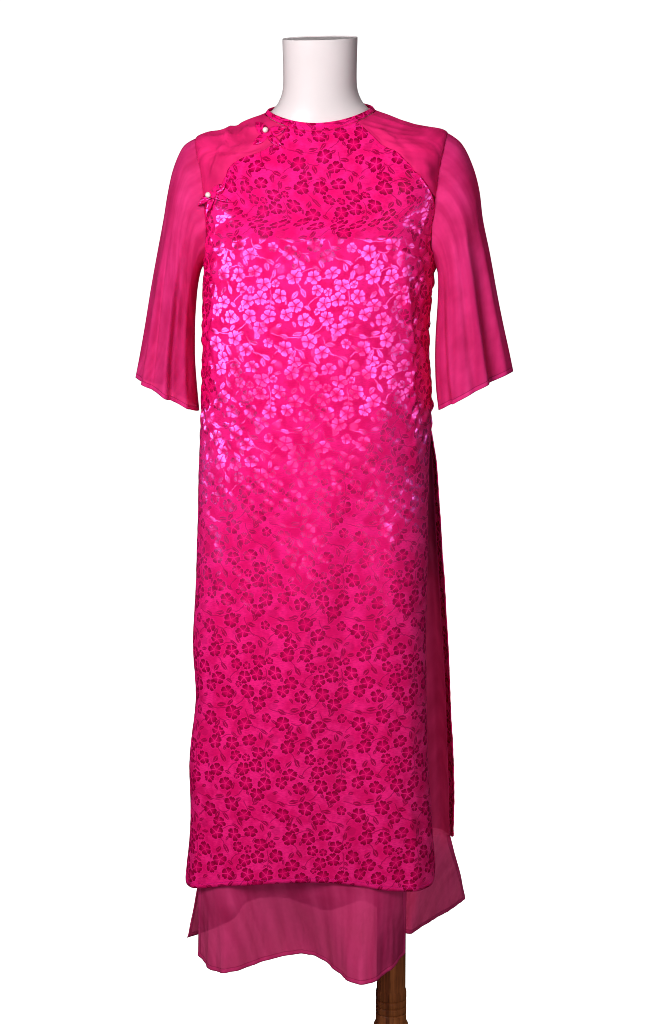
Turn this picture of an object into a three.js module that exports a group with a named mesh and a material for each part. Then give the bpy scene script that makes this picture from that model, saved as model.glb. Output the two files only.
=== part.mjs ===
// An ao dai with sheer yokes, bell sleeves and underflaps, worn by a limbless dress form on a turned post.
// Millimetres, +Z up. The front faces -Y and the wearer's left is +X.
import * as THREE from 'three';

const CLOTH = 1.6; // wall of every cloth piece
const SEAM = 0.4; // each side of a seam is pulled back by this much
const REST = 0.5; // gap between the post and the form's underside
const TILT = 0.027; // the form stands a little higher on the wearer's left
const TILT_FROM = 1300; // the tilt fades in from here up
const TILT_FULL = 1480;
const FRAME_SHIFT = new THREE.Vector3(-6, -17, 0); // centres the whole on the origin

const MATERIALS = {
  brocade: new THREE.MeshStandardMaterial({ color: 0xe0146e, roughness: 0.45, metalness: 0.1 }),
  chiffon: new THREE.MeshStandardMaterial({ color: 0xc8205f, roughness: 0.7, metalness: 0 }),
  form: new THREE.MeshStandardMaterial({ color: 0xf4eeee, roughness: 0.25, metalness: 0 }),
  wood: new THREE.MeshStandardMaterial({ color: 0x5a3420, roughness: 0.45, metalness: 0 }),
  pearl: new THREE.MeshStandardMaterial({ color: 0xf2e6dc, roughness: 0.2, metalness: 0 }),
};

// Rings of the closed upper dress, from the collar seam down to the tops of the side slits.
const BODY = [
  { zSide: 1521, zFront: 1500, zBack: 1523, centre: 0.5, half: 79, front: 66, back: 64, round: 2.0 },
  { zSide: 1499.5, zFront: 1460, zBack: 1480, centre: 1.5, half: 130, front: 79, back: 84, round: 2.1 },
  { zSide: 1487, zFront: 1420, zBack: 1436, centre: 2, half: 181, front: 92, back: 100, round: 2.3 },
  { zSide: 1440, zFront: 1386, zBack: 1394, centre: 3, half: 179, front: 103, back: 107, round: 2.4 },
  { zSide: 1378, zFront: 1358, zBack: 1356, centre: 2, half: 173, front: 112, back: 107, round: 2.4 },
  { zSide: 1310, zFront: 1316, zBack: 1310, centre: 0, half: 168, front: 115, back: 103, round: 2.3 },
  { zSide: 1250, zFront: 1252, zBack: 1250, centre: -5, half: 166, front: 115, back: 100, round: 2.3 },
  { zSide: 1180, zFront: 1181, zBack: 1180, centre: -6.5, half: 165, front: 114, back: 99, round: 2.3 },
  { zSide: 1110, zFront: 1110, zBack: 1110, centre: -5, half: 168, front: 113, back: 101, round: 2.3 },
  { zSide: 1062, zFront: 1062, zBack: 1062, centre: -6, half: 169, front: 113, back: 103, round: 2.3 },
];
const SLIT_LEVEL = BODY.length - 1;

// Rings of the open flaps below the slits: edge is how deep their side edges lie, mid their centre line.
const FRONT_FLAP = [
  { zEdge: 1000, zMid: 1000, left: -177, right: 160, edge: -8, mid: -114 },
  { zEdge: 925, zMid: 925, left: -178.5, right: 160, edge: -20, mid: -116 },
  { zEdge: 840, zMid: 840, left: -180, right: 159.5, edge: -32, mid: -119 },
  { zEdge: 750, zMid: 750, left: -184, right: 159.5, edge: -41, mid: -122 },
  { zEdge: 660, zMid: 660, left: -181, right: 161, edge: -47, mid: -125 },
  { zEdge: 570, zMid: 570, left: -190.5, right: 164, edge: -52, mid: -128 },
  { zEdge: 480, zMid: 484, left: -188.5, right: 170, edge: -57, mid: -131 },
  { zEdge: 392, zMid: 404, left: -196, right: 176, edge: -62, mid: -133 },
];
const BACK_FLAP = [
  { zEdge: 1000, zMid: 1000, left: -175, right: 171, edge: 10, mid: 105 },
  { zEdge: 925, zMid: 925, left: -177, right: 177, edge: 24, mid: 112 },
  { zEdge: 840, zMid: 840, left: -179, right: 182, edge: 37, mid: 121 },
  { zEdge: 750, zMid: 750, left: -181, right: 187, edge: 48, mid: 131 },
  { zEdge: 660, zMid: 660, left: -184, right: 192, edge: 58, mid: 141 },
  { zEdge: 570, zMid: 570, left: -187, right: 195, edge: 68, mid: 149 },
  { zEdge: 480, zMid: 480, left: -190, right: 198, edge: 80, mid: 156 },
  { zEdge: 408, zMid: 400, left: -192, right: 199, edge: 92, mid: 160 },
];
const FLAP_ROUND = 2.3;
const HEM_LEVEL = SLIT_LEVEL + FRONT_FLAP.length;
// Long soft folds of the flaps: the angle they run down at, their depth out of the flap and their width.
const FLAP_FOLDS = [
  { angle: -66, depth: 5, width: 8 },
  { angle: -38, depth: -3, width: 9 },
  { angle: 24, depth: -3, width: 12 },
  { angle: 58, depth: 5, width: 8 },
  { angle: 118, depth: 7, width: 9 },
  { angle: 150, depth: -6, width: 11 },
  { angle: 188, depth: 8, width: 10 },
  { angle: 226, depth: -7, width: 11 },
  { angle: 250, depth: 6, width: 8 },
];

// The line where the brocade meets the sheer yokes, in degrees from the centre, by level.
const YOKE_LINE = [
  { level: 0, right: 32, left: 44 },
  { level: 0.5, right: 30, left: 44.5 },
  { level: 1, right: 35.5, left: 43 },
  { level: 1.4, right: 40.5, left: 44.5 },
  { level: 1.8, right: 41.5, left: 42.6 },
  { level: 2.3, right: 41.6, left: 44.6 },
  { level: 2.8, right: 46.5, left: 52.5 },
  { level: 3.3, right: 54, left: 61 },
  { level: 3.75, right: 69, left: 69 },
];
// The armhole seam from the foot of that line down to the armpit, and up to the shoulder tip.
const ARMHOLE_LOW = [
  { level: 4.2, angle: 69.4 },
  { level: 4.65, angle: 72.5 },
  { level: 4.95, angle: 79 },
  { level: 5.15, angle: 90 },
];
const ARMHOLE_HIGH = [
  { level: 3.75, angle: 69 },
  { level: 3.3, angle: 69.2 },
  { level: 2.9, angle: 69.8 },
  { level: 2.5, angle: 71 },
  { level: 2.2, angle: 75 },
  { level: 2.05, angle: 82 },
  { level: 2.0, angle: 90 },
];

const mix = THREE.MathUtils.lerp;
const clamp = THREE.MathUtils.clamp;
const smooth = (value, from, to) => THREE.MathUtils.smoothstep(value, from, to);
const radians = THREE.MathUtils.degToRad;

// Reads a table of rows with named columns at a fractional row, along a Catmull-Rom curve.
function readTable(rows, position) {
  const place = clamp(position, 0, rows.length - 1);
  const i = Math.min(Math.floor(place), rows.length - 2);
  const t = place - i;
  const at = (k) => rows[clamp(k, 0, rows.length - 1)];
  const row = {};
  for (const name of Object.keys(rows[i])) {
    const [a, b, c, d] = [at(i - 1)[name], at(i)[name], at(i + 1)[name], at(i + 2)[name]];
    const bend = (2 * a - 5 * b + 4 * c - d) * t * t + (3 * b - a - 3 * c + d) * t ** 3;
    row[name] = 0.5 * (2 * b + (c - a) * t + bend);
  }
  return row;
}

// One half of the dress as rings with the same columns from collar to hem.
function dressRows(zMid, mid, flap) {
  const upper = BODY.map((ring) => ({
    zEdge: ring.zSide,
    zMid: ring[zMid],
    centre: ring.centre,
    half: ring.half,
    edge: 0,
    mid: mid(ring),
    round: ring.round,
  }));
  const lower = flap.map((ring) => ({
    zEdge: ring.zEdge,
    zMid: ring.zMid,
    centre: (ring.left + ring.right) / 2,
    half: (ring.right - ring.left) / 2,
    edge: ring.edge,
    mid: ring.mid,
    round: FLAP_ROUND,
  }));
  return [...upper, ...lower];
}
const FRONT_ROWS = dressRows('zFront', (ring) => -ring.front, FRONT_FLAP);
const BACK_ROWS = dressRows('zBack', (ring) => ring.back, BACK_FLAP);

const tiltAt = (x, z) => TILT * x * smooth(z, TILT_FROM, TILT_FULL);
const signedPower = (value, power) => Math.sign(value) * Math.abs(value) ** power;

// The outer face of the dress at a level and an angle: 0 is the front centre, 180 the back, 90 toward +X.
function dressPoint(level, angle) {
  const a = radians(angle);
  const isFront = Math.cos(a) > 0;
  const ring = readTable(isFront ? FRONT_ROWS : BACK_ROWS, level);
  const x = ring.centre + ring.half * signedPower(Math.sin(a), 2 / ring.round);
  const z = mix(ring.zEdge, ring.zMid, Math.cos(a) ** 2);
  let y = mix(ring.edge, ring.mid, Math.abs(Math.cos(a)) ** (2 / ring.round));
  for (const fold of FLAP_FOLDS) {
    const away = THREE.MathUtils.euclideanModulo(angle - fold.angle + 180, 360) - 180;
    const reach = Math.exp(-((away / fold.width) ** 2)) * smooth(level, SLIT_LEVEL, HEM_LEVEL);
    y += (isFront ? -1 : 1) * fold.depth * reach;
  }
  return new THREE.Vector3(x, y, z + tiltAt(x, z));
}

// Steps for the slope of a surface: in degrees and levels on the dress, and as a share of a piece.
const ANGLE_STEP = 0.5;
const LEVEL_STEP = 0.02;
const SHARE_STEP = 0.005;
// The outward normal of surface(across, down): across runs toward +X on a front, down runs to the hem.
function normalOf(surface, across, down, stepAcross, stepDown) {
  const alongRow = surface(across + stepAcross, down).sub(surface(across - stepAcross, down));
  const alongColumn = surface(across, down + stepDown).sub(surface(across, down - stepDown));
  return alongColumn.cross(alongRow).normalize();
}
function onDress(level, angle, out = 0) {
  const normal = normalOf((u, v) => dressPoint(v, u), angle, level, ANGLE_STEP, LEVEL_STEP);
  return { point: dressPoint(level, angle).addScaledVector(normal, out), normal };
}

function toGeometry(points, faces) {
  const geometry = new THREE.BufferGeometry();
  geometry.setAttribute('position', new THREE.Float32BufferAttribute(points.flatMap((p) => p.toArray()), 3));
  geometry.setIndex(faces);
  return geometry;
}

// Two layers of points, outer[row][column] and inner[row][column], as one closed wall.
function wall(outer, inner, closed = false) {
  const rows = outer.length;
  const columns = outer[0].length;
  const at = (r, c, layer) => (layer * rows + r) * columns + (c % columns);
  const faces = [];
  const quad = (a, b, c, d) => faces.push(a, b, c, a, c, d);
  const span = closed ? columns : columns - 1;
  const last = rows - 1;
  for (let c = 0; c < span; c += 1) {
    for (let r = 0; r < last; r += 1) {
      quad(at(r, c, 0), at(r + 1, c, 0), at(r + 1, c + 1, 0), at(r, c + 1, 0));
      quad(at(r, c, 1), at(r, c + 1, 1), at(r + 1, c + 1, 1), at(r + 1, c, 1));
    }
    quad(at(0, c, 0), at(0, c + 1, 0), at(0, c + 1, 1), at(0, c, 1));
    quad(at(last, c, 0), at(last, c, 1), at(last, c + 1, 1), at(last, c + 1, 0));
  }
  for (let r = 0; r < last && !closed; r += 1) {
    quad(at(r, 0, 0), at(r, 0, 1), at(r + 1, 0, 1), at(r + 1, 0, 0));
    quad(at(r, span, 0), at(r + 1, span, 0), at(r + 1, span, 1), at(r, span, 1));
  }
  return toGeometry([...outer.flat(), ...inner.flat()], faces);
}

// Pulls edges of a grid of points back along the grid, for the gap at a seam.
function pullBack(grid, edges) {
  const pull = (point, next) => point.addScaledVector(next.clone().sub(point).normalize(), SEAM);
  if (edges.includes('top')) grid[0].forEach((point, c) => pull(point, grid[1][c]));
  if (edges.includes('bottom')) grid.at(-1).forEach((point, c) => pull(point, grid.at(-2)[c]));
  if (edges.includes('start')) grid.forEach((row) => pull(row[0], row[1]));
  if (edges.includes('end')) grid.forEach((row) => pull(row.at(-1), row.at(-2)));
}

// Cloth whose outer face runs through places[row][column], each a point with its outward normal.
function cloth(places, edges, closed = false) {
  const outer = places.map((row) => row.map((place) => place.point.clone()));
  pullBack(outer, edges);
  const inner = outer.map((row, r) => row.map((point, c) => (
    point.clone().addScaledVector(places[r][c].normal, -CLOTH))));
  return wall(outer, inner, closed);
}

// Rings of points as one solid, closed by a flat fan at both ends.
function stack(rings) {
  const columns = rings[0].length;
  const middle = (ring) => ring.reduce((sum, p) => sum.add(p), new THREE.Vector3()).divideScalar(columns);
  const points = [...rings.flat(), middle(rings[0]), middle(rings.at(-1))];
  const [topCentre, footCentre] = [points.length - 2, points.length - 1];
  const faces = [];
  for (let c = 0; c < columns; c += 1) {
    const next = (c + 1) % columns;
    for (let r = 0; r < rings.length - 1; r += 1) {
      const [a, b] = [r * columns, (r + 1) * columns];
      faces.push(a + c, b + c, b + next, a + c, b + next, a + next);
    }
    const foot = (rings.length - 1) * columns;
    faces.push(topCentre, c, next, footCentre, foot + next, foot + c);
  }
  return toGeometry(points, faces);
}

// Brocade front and back: cut away to the yokes above, whole across the body, open flaps below the slits.
const PANEL_COLUMNS = 18;
const BODY_LEVELS = [5.65, 6.3, 7, 8, 9];
const FLAP_STEPS = 10;
const SIDE_SEAM = 89.99; // just inside the half ring, so that the edge belongs to this panel
const PANEL_EDGES = [
  ...YOKE_LINE,
  ...ARMHOLE_LOW.map(({ level, angle }) => ({ level, right: angle, left: angle })),
  ...BODY_LEVELS.map((level) => ({ level, right: 90, left: 90 })),
];
for (let step = 1; step <= FLAP_STEPS; step += 1) {
  PANEL_EDGES.push({ level: mix(SLIT_LEVEL, HEM_LEVEL, step / FLAP_STEPS), right: 90, left: 90 });
}
function panel(turn) {
  const places = PANEL_EDGES.map(({ level, right, left }) => {
    const [from, to] = turn === 0 ? [-right, left] : [-left, right];
    return Array.from({ length: PANEL_COLUMNS + 1 }, (_, c) => {
      const angle = clamp(mix(from, to, c / PANEL_COLUMNS), -SIDE_SEAM, SIDE_SEAM);
      return onDress(level, turn + angle);
    });
  });
  return cloth(places, ['top', 'start', 'end']);
}

// The armhole seam from the front foot of the yoke line over the shoulder tip to the back foot.
function armholeHigh(t) {
  const up = 1 - Math.abs(2 * t - 1);
  const { level, angle } = readTable(ARMHOLE_HIGH, up * (ARMHOLE_HIGH.length - 1));
  return { level, angle: t <= 0.5 ? angle : 180 - angle };
}

// Sheer yokes from the yoke line and the collar out to the armhole, over the shoulder.
const YOKE_COLUMNS = 4;
const COLLAR_SAMPLES = 10;
const YOKE_GATHERS = [
  { row: 2.5, height: 2.5, width: 1.2 },
  { row: 12, height: 3.5, width: 1.1 },
  { row: 16, height: 3, width: 1.4 },
  { row: 21.5, height: 2.5, width: 1.2 },
];
function yokeLine(side) {
  const column = side < 0 ? 'right' : 'left';
  const front = YOKE_LINE.slice(0, -1).reverse().map((row) => ({ level: row.level, angle: row[column] }));
  const neck = front.at(-1).angle;
  const collar = Array.from({ length: COLLAR_SAMPLES }, (_, k) => (
    { level: 0, angle: mix(neck, 180 - neck, (k + 1) / (COLLAR_SAMPLES + 1)) }));
  const back = front.map(({ level, angle }) => ({ level, angle: 180 - angle })).reverse();
  return [...front, ...collar, ...back];
}
const YOKE_ROWS = yokeLine(1).length;
const armholeShare = (row) => (row + 1) / (YOKE_ROWS + 1);
function yoke(side) {
  const places = yokeLine(side).map((line, r) => {
    const seam = armholeHigh(armholeShare(r));
    return Array.from({ length: YOKE_COLUMNS + 1 }, (_, c) => {
      const along = c / YOKE_COLUMNS;
      const lift = YOKE_GATHERS.reduce((sum, gather) => sum + gather.height
        * Math.exp(-(((r - gather.row) / gather.width) ** 2)) * Math.sin(Math.PI * along) ** 1.5, 0);
      const angle = side * mix(line.angle, seam.angle, along);
      return onDress(mix(line.level, seam.level, along), angle, lift);
    });
  });
  if (side > 0) places.reverse();
  return cloth(places, ['top', 'bottom', 'start', 'end']);
}

// Bell sleeves: rings from the armhole to the hem, each a flattened loop between its outermost and
// innermost points (distances from the centre line and heights), its depths to the front and back, and
// how much higher than its middle the ring runs at the front, and lower at the back.
const SLEEVE_RIGHT = [
  { outerX: 179, outerZ: 1482, innerX: 168, innerZ: 1303, front: 47, back: 47, frontRise: 0 },
  { outerX: 197, outerZ: 1470, innerX: 173, innerZ: 1292, front: 52, back: 52, frontRise: 0 },
  { outerX: 211, outerZ: 1440, innerX: 177, innerZ: 1276, front: 56, back: 56, frontRise: 0 },
  { outerX: 219.5, outerZ: 1405, innerX: 180, innerZ: 1257, front: 59, back: 60, frontRise: 0 },
  { outerX: 226, outerZ: 1366, innerX: 182, innerZ: 1236, front: 62, back: 64, frontRise: 1 },
  { outerX: 235, outerZ: 1315, innerX: 183.5, innerZ: 1212, front: 65, back: 68, frontRise: 2 },
  { outerX: 243, outerZ: 1265, innerX: 184, innerZ: 1186, front: 69, back: 72, frontRise: 3 },
  { outerX: 251, outerZ: 1212, innerX: 184, innerZ: 1158, front: 73, back: 76, frontRise: 5 },
  { outerX: 259, outerZ: 1168, innerX: 182, innerZ: 1124, front: 77, back: 80, frontRise: 8 },
  { outerX: 266.5, outerZ: 1131, innerX: 178.5, innerZ: 1084, front: 81, back: 84, frontRise: 11 },
];
const SLEEVE_LEFT = [
  { outerX: 183, outerZ: 1492, innerX: 168, innerZ: 1303, front: 47, back: 47, frontRise: 0 },
  { outerX: 203, outerZ: 1477, innerX: 171, innerZ: 1292, front: 52, back: 52, frontRise: 0 },
  { outerX: 218.5, outerZ: 1447, innerX: 171.5, innerZ: 1276, front: 56, back: 56, frontRise: 0 },
  { outerX: 229, outerZ: 1411, innerX: 171, innerZ: 1257, front: 59, back: 60, frontRise: 0 },
  { outerX: 235, outerZ: 1368, innerX: 170, innerZ: 1236, front: 62, back: 64, frontRise: 1 },
  { outerX: 245, outerZ: 1322, innerX: 168.5, innerZ: 1212, front: 65, back: 68, frontRise: 2 },
  { outerX: 254, outerZ: 1274, innerX: 167.5, innerZ: 1186, front: 69, back: 72, frontRise: 3 },
  { outerX: 264, outerZ: 1222, innerX: 167.5, innerZ: 1158, front: 73, back: 76, frontRise: 5 },
  { outerX: 272, outerZ: 1182, innerX: 169, innerZ: 1124, front: 77, back: 80, frontRise: 8 },
  { outerX: 278.5, outerZ: 1148, innerX: 173, innerZ: 1090, front: 81, back: 84, frontRise: 11 },
];
// Folds that open toward the hem: turn goes round from the armpit, 0.25 at the front and 0.5 outermost.
const SLEEVE_FOLDS_RIGHT = [
  { turn: 0.17, depth: -6, width: 0.035 },
  { turn: 0.3, depth: -7, width: 0.04 },
  { turn: 0.42, depth: -5, width: 0.03 },
  { turn: 0.6, depth: -9, width: 0.04 },
  { turn: 0.76, depth: -10, width: 0.05 },
];
const SLEEVE_FOLDS_LEFT = [
  { turn: 0.2, depth: 4, width: 0.06 },
  { turn: 0.36, depth: -17, width: 0.04 },
  { turn: 0.45, depth: 5, width: 0.03 },
  { turn: 0.58, depth: -10, width: 0.04 },
  { turn: 0.78, depth: -9, width: 0.05 },
];
const SEAM_FADE = [1, 0.62, 0.34, 0.14, 0.04]; // how far each ring still follows the armhole's own shape

function sleeveRing(ring, side, turn, fold = 0) {
  const phase = 2 * Math.PI * turn;
  const outer = new THREE.Vector2(ring.outerX, ring.outerZ);
  const inner = new THREE.Vector2(ring.innerX, ring.innerZ);
  const half = outer.clone().sub(inner).multiplyScalar(0.5);
  const out = half.length() + fold;
  const place = outer.clone().add(inner).multiplyScalar(0.5);
  place.addScaledVector(half.normalize(), -out * Math.cos(phase));
  const deep = -Math.sin(phase) * (Math.sin(phase) > 0 ? ring.front + fold : ring.back + fold);
  return new THREE.Vector3(side * place.x, deep, place.y + ring.frontRise * Math.sin(phase));
}
function armholeLoop(side) {
  const low = ARMHOLE_LOW.map(({ level, angle }) => ({ level, angle }));
  const foot = { level: YOKE_LINE.at(-1).level, angle: YOKE_LINE.at(-1).left };
  const front = [...low].reverse().concat(foot);
  const high = Array.from({ length: YOKE_ROWS }, (_, r) => armholeHigh(armholeShare(r)));
  const back = front.slice(1).reverse().map(({ level, angle }) => ({ level, angle: 180 - angle }));
  return [...front, ...high, ...back].map(({ level, angle }) => dressPoint(level, side * angle));
}
function sleeve(side, rings, folds) {
  const seam = armholeLoop(side);
  const lengths = seam.map((point, c) => point.distanceTo(seam[(c + 1) % seam.length]));
  const round = lengths.reduce((sum, length) => sum + length, 0);
  let walked = 0;
  const turns = lengths.map((length) => {
    const turn = walked / round;
    walked += length;
    return turn;
  });
  const last = rings.length - 1;
  const points = rings.map((ring, r) => seam.map((armholePoint, c) => {
    const opening = smooth(r, 1, last) * r / last;
    const fold = folds.reduce((sum, { turn, depth, width }) => (
      sum + depth * Math.exp(-(((turns[c] - turn) / width) ** 2))), 0);
    const point = sleeveRing(ring, side, turns[c], fold * opening);
    const own = armholePoint.clone().sub(sleeveRing(rings[0], side, turns[c]));
    point.addScaledVector(own, SEAM_FADE[r] ?? 0);
    point.x += side * 2 * SEAM * (r === 0 ? 1 : 0);
    return point;
  }));
  const columns = seam.length;
  const places = points.map((row, r) => row.map((point, c) => {
    const around = row[(c + 1) % columns].clone().sub(row[(c + columns - 1) % columns]);
    const down = points[Math.min(r + 1, last)][c].clone().sub(points[Math.max(r - 1, 0)][c]);
    return { point, normal: down.cross(around).multiplyScalar(side).normalize() };
  }));
  if (side < 0) places.forEach((row) => row.reverse());
  return cloth(places, [], true);
}

// Chiffon underflaps: they hang inside the brocade from the waist and go on below its hem in deep waves.
const UNDER_COLUMNS = 28;
const UNDER_HANG = [0, 0.05, 0.14, 0.3, 0.5, 0.68, 0.76, 0.84, 0.92, 1]; // rows, as shares of the length
const HEM_SHARE = 0.76; // where the brocade hem lies above them
const UNDER_TOP_GAP = 1.1; // inside the brocade where it is sewn in
const UNDER_GAP = 6; // inside the brocade lower down
// Shares of the length to the brocade hem over which the side edges narrow and the cloth comes loose.
const UNDER_NARROWS = { from: 0.1, to: 1 };
const UNDER_LOOSENS = { from: 0.02, to: 0.3 };
const WAVES_OPEN = { from: -0.35, to: 1.1 }; // the same for the hem waves, below the brocade hem
// Side edges in degrees at the waist and at the brocade hem: right is toward -X.
const FRONT_UNDER = { rightTop: 80, rightLow: 63, leftTop: 80, leftLow: 46 };
const BACK_UNDER = { rightTop: 80, rightLow: 76, leftTop: 80, leftLow: 76 };
// Crests and hollows of the underflap hems, from the wearer's right to the left.
const FRONT_UNDER_HEM = [
  { x: -177, y: -70, z: 268 },
  { x: -154, y: -104, z: 258 },
  { x: -122, y: -122, z: 262 },
  { x: -72, y: -86, z: 269 },
  { x: -24, y: -66, z: 273 },
  { x: 10, y: -80, z: 270 },
  { x: 54, y: -136, z: 258 },
  { x: 84, y: -140, z: 257 },
  { x: 112, y: -102, z: 265 },
  { x: 130, y: -58, z: 276 },
];
const BACK_UNDER_HEM = [
  { x: -203, y: 6, z: 266 },
  { x: -170, y: 58, z: 263 },
  { x: -142, y: 110, z: 263 },
  { x: -126, y: 176, z: 268 },
  { x: -78, y: 192, z: 270 },
  { x: -34, y: 172, z: 266 },
  { x: -4, y: 150, z: 265 },
  { x: 24, y: 168, z: 266 },
  { x: 52, y: 186, z: 270 },
  { x: 86, y: 150, z: 266 },
  { x: 112, y: 84, z: 264 },
  { x: 134, y: 56, z: 264 },
  { x: 160, y: 104, z: 266 },
  { x: 190, y: 156, z: 268 },
  { x: 214, y: 196, z: 274 },
];
function underflap(turn, edges, hem) {
  const surface = (across, down) => {
    const share = turn === 0 ? across : 1 - across;
    const upper = Math.min(down / HEM_SHARE, 1);
    const narrow = smooth(upper, UNDER_NARROWS.from, UNDER_NARROWS.to);
    const right = mix(edges.rightTop, edges.rightLow, narrow);
    const left = mix(edges.leftTop, edges.leftLow, narrow);
    const angle = mix(-right, left, share);
    const gap = mix(UNDER_TOP_GAP, UNDER_GAP, smooth(upper, UNDER_LOOSENS.from, UNDER_LOOSENS.to));
    const level = mix(SLIT_LEVEL, HEM_LEVEL, upper);
    const above = onDress(level, turn === 0 ? angle : 180 - angle, -CLOTH - gap).point;
    if (down <= HEM_SHARE) return above;
    const foot = readTable(hem, share * (hem.length - 1));
    const drop = (down - HEM_SHARE) / (1 - HEM_SHARE);
    const spread = smooth(drop, WAVES_OPEN.from, WAVES_OPEN.to);
    const [x, z] = [mix(above.x, foot.x, drop), mix(above.z, foot.z, drop)];
    return new THREE.Vector3(x, mix(above.y, foot.y, spread), z);
  };
  const places = UNDER_HANG.map((down) => Array.from({ length: UNDER_COLUMNS + 1 }, (_, c) => {
    const across = c / UNDER_COLUMNS;
    return { point: surface(across, down), normal: normalOf(surface, across, down, SHARE_STEP, SHARE_STEP) };
  }));
  return cloth(places, []);
}

// Stand collar, open at the closure over the wearer's right collarbone.
const COLLAR_TOP = { zSide: 1526.5, zFront: 1511, zBack: 1533, centre: 0.5, half: 74.5, front: 62, back: 60 };
const COLLAR_OPENING = -32;
const COLLAR_COLUMNS = 36;
function collar() {
  const surface = (across, down) => {
    const angle = mix(COLLAR_OPENING, COLLAR_OPENING + 360, across);
    const a = radians(angle);
    const foot = dressPoint(0, angle);
    const isFront = Math.cos(a) > 0;
    const x = COLLAR_TOP.centre + COLLAR_TOP.half * Math.sin(a);
    const y = -Math.cos(a) * (isFront ? COLLAR_TOP.front : COLLAR_TOP.back);
    const z = mix(COLLAR_TOP.zSide, isFront ? COLLAR_TOP.zFront : COLLAR_TOP.zBack, Math.cos(a) ** 2);
    return new THREE.Vector3(x, y, z + tiltAt(x, z)).lerp(foot, down);
  };
  const places = [0, 0.5, 1].map((down) => Array.from({ length: COLLAR_COLUMNS + 1 }, (_, c) => {
    const across = c / COLLAR_COLUMNS;
    return { point: surface(across, down), normal: normalOf(surface, across, down, SHARE_STEP, SHARE_STEP) };
  }));
  return cloth(places, ['bottom', 'start', 'end']);
}

// Ties: a knotted bow of four short ends on each button, laid on the dress, with a pearl on its knot.
const BOW_LIFT = 1.1; // clear of the dress below it
const BOW_KNOT = { radius: 7.5, height: 6 };
const BOW_TIP_HEIGHT = 1.8;
const BOW_SPREAD = radians(17); // how narrow each end is
const BOW_TURNS = 24;
const BOW_SHARES = [0.3, 0.6, 1];
const PEARL_RADIUS = 4;
const PEARL_GAP = 0.7;
const PEARL_SIDES = 12;
const PEARL_RINGS = 8;
const TIES = [
  {
    name: 'upper',
    level: 0.5,
    angle: -43.8,
    ends: [
      { x: 28, z: 7, rise: 1 },
      { x: -25, z: 10, rise: 1 },
      { x: -19, z: -13, rise: 1 },
      { x: 16, z: -18, rise: 1 },
    ],
  },
  {
    name: 'lower',
    level: 3.22,
    angle: -54.3,
    ends: [
      { x: 25, z: -7, rise: 1 },
      { x: 17, z: 20, rise: 1 },
      { x: -21, z: -12, rise: 11 },
      { x: -9, z: -26, rise: 3 },
    ],
  },
];
// Maps steps toward +X and up, in mm, to a place on the dress near the tie.
function tiePlace(tie, x, z, out) {
  const [stepLevel, stepAngle] = [0.05, 1];
  const here = dressPoint(tie.level, tie.angle);
  const byAngle = dressPoint(tie.level, tie.angle + stepAngle).sub(here).divideScalar(stepAngle);
  const byLevel = dressPoint(tie.level + stepLevel, tie.angle).sub(here).divideScalar(stepLevel);
  const area = byAngle.x * byLevel.z - byAngle.z * byLevel.x;
  const angle = tie.angle + (x * byLevel.z - z * byLevel.x) / area;
  const level = tie.level + (z * byAngle.x - x * byAngle.z) / area;
  return onDress(Math.max(level, 0), angle, out).point;
}
const knotTop = mix(BOW_KNOT.height, BOW_TIP_HEIGHT, BOW_SHARES[0]);
function bow(tie) {
  const ring = (share, height) => Array.from({ length: BOW_TURNS }, (_, c) => {
    const turn = (2 * Math.PI * c) / BOW_TURNS;
    const direction = new THREE.Vector2(Math.cos(turn), Math.sin(turn));
    let far = BOW_KNOT.radius;
    let rise = 0;
    for (const end of tie.ends) {
      const tip = new THREE.Vector2(end.x, end.z);
      const away = Math.acos(clamp(direction.dot(tip) / tip.length(), -1, 1));
      const near = Math.exp(-((away / BOW_SPREAD) ** 2));
      far = Math.max(far, mix(BOW_KNOT.radius, tip.length(), near));
      rise += end.rise * near * share;
    }
    return tiePlace(tie, direction.x * far * share, direction.y * far * share, BOW_LIFT + rise + height);
  });
  const top = BOW_SHARES.map((share) => ring(share, mix(BOW_KNOT.height, BOW_TIP_HEIGHT, share)));
  const under = [...BOW_SHARES].reverse().map((share) => ring(share, 0));
  return stack([...top, ...under]);
}
function pearl(tie) {
  const seat = tiePlace(tie, 0, 0, BOW_LIFT + knotTop + PEARL_GAP + PEARL_RADIUS);
  return new THREE.SphereGeometry(PEARL_RADIUS, PEARL_SIDES, PEARL_RINGS).translate(...seat.toArray());
}

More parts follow.
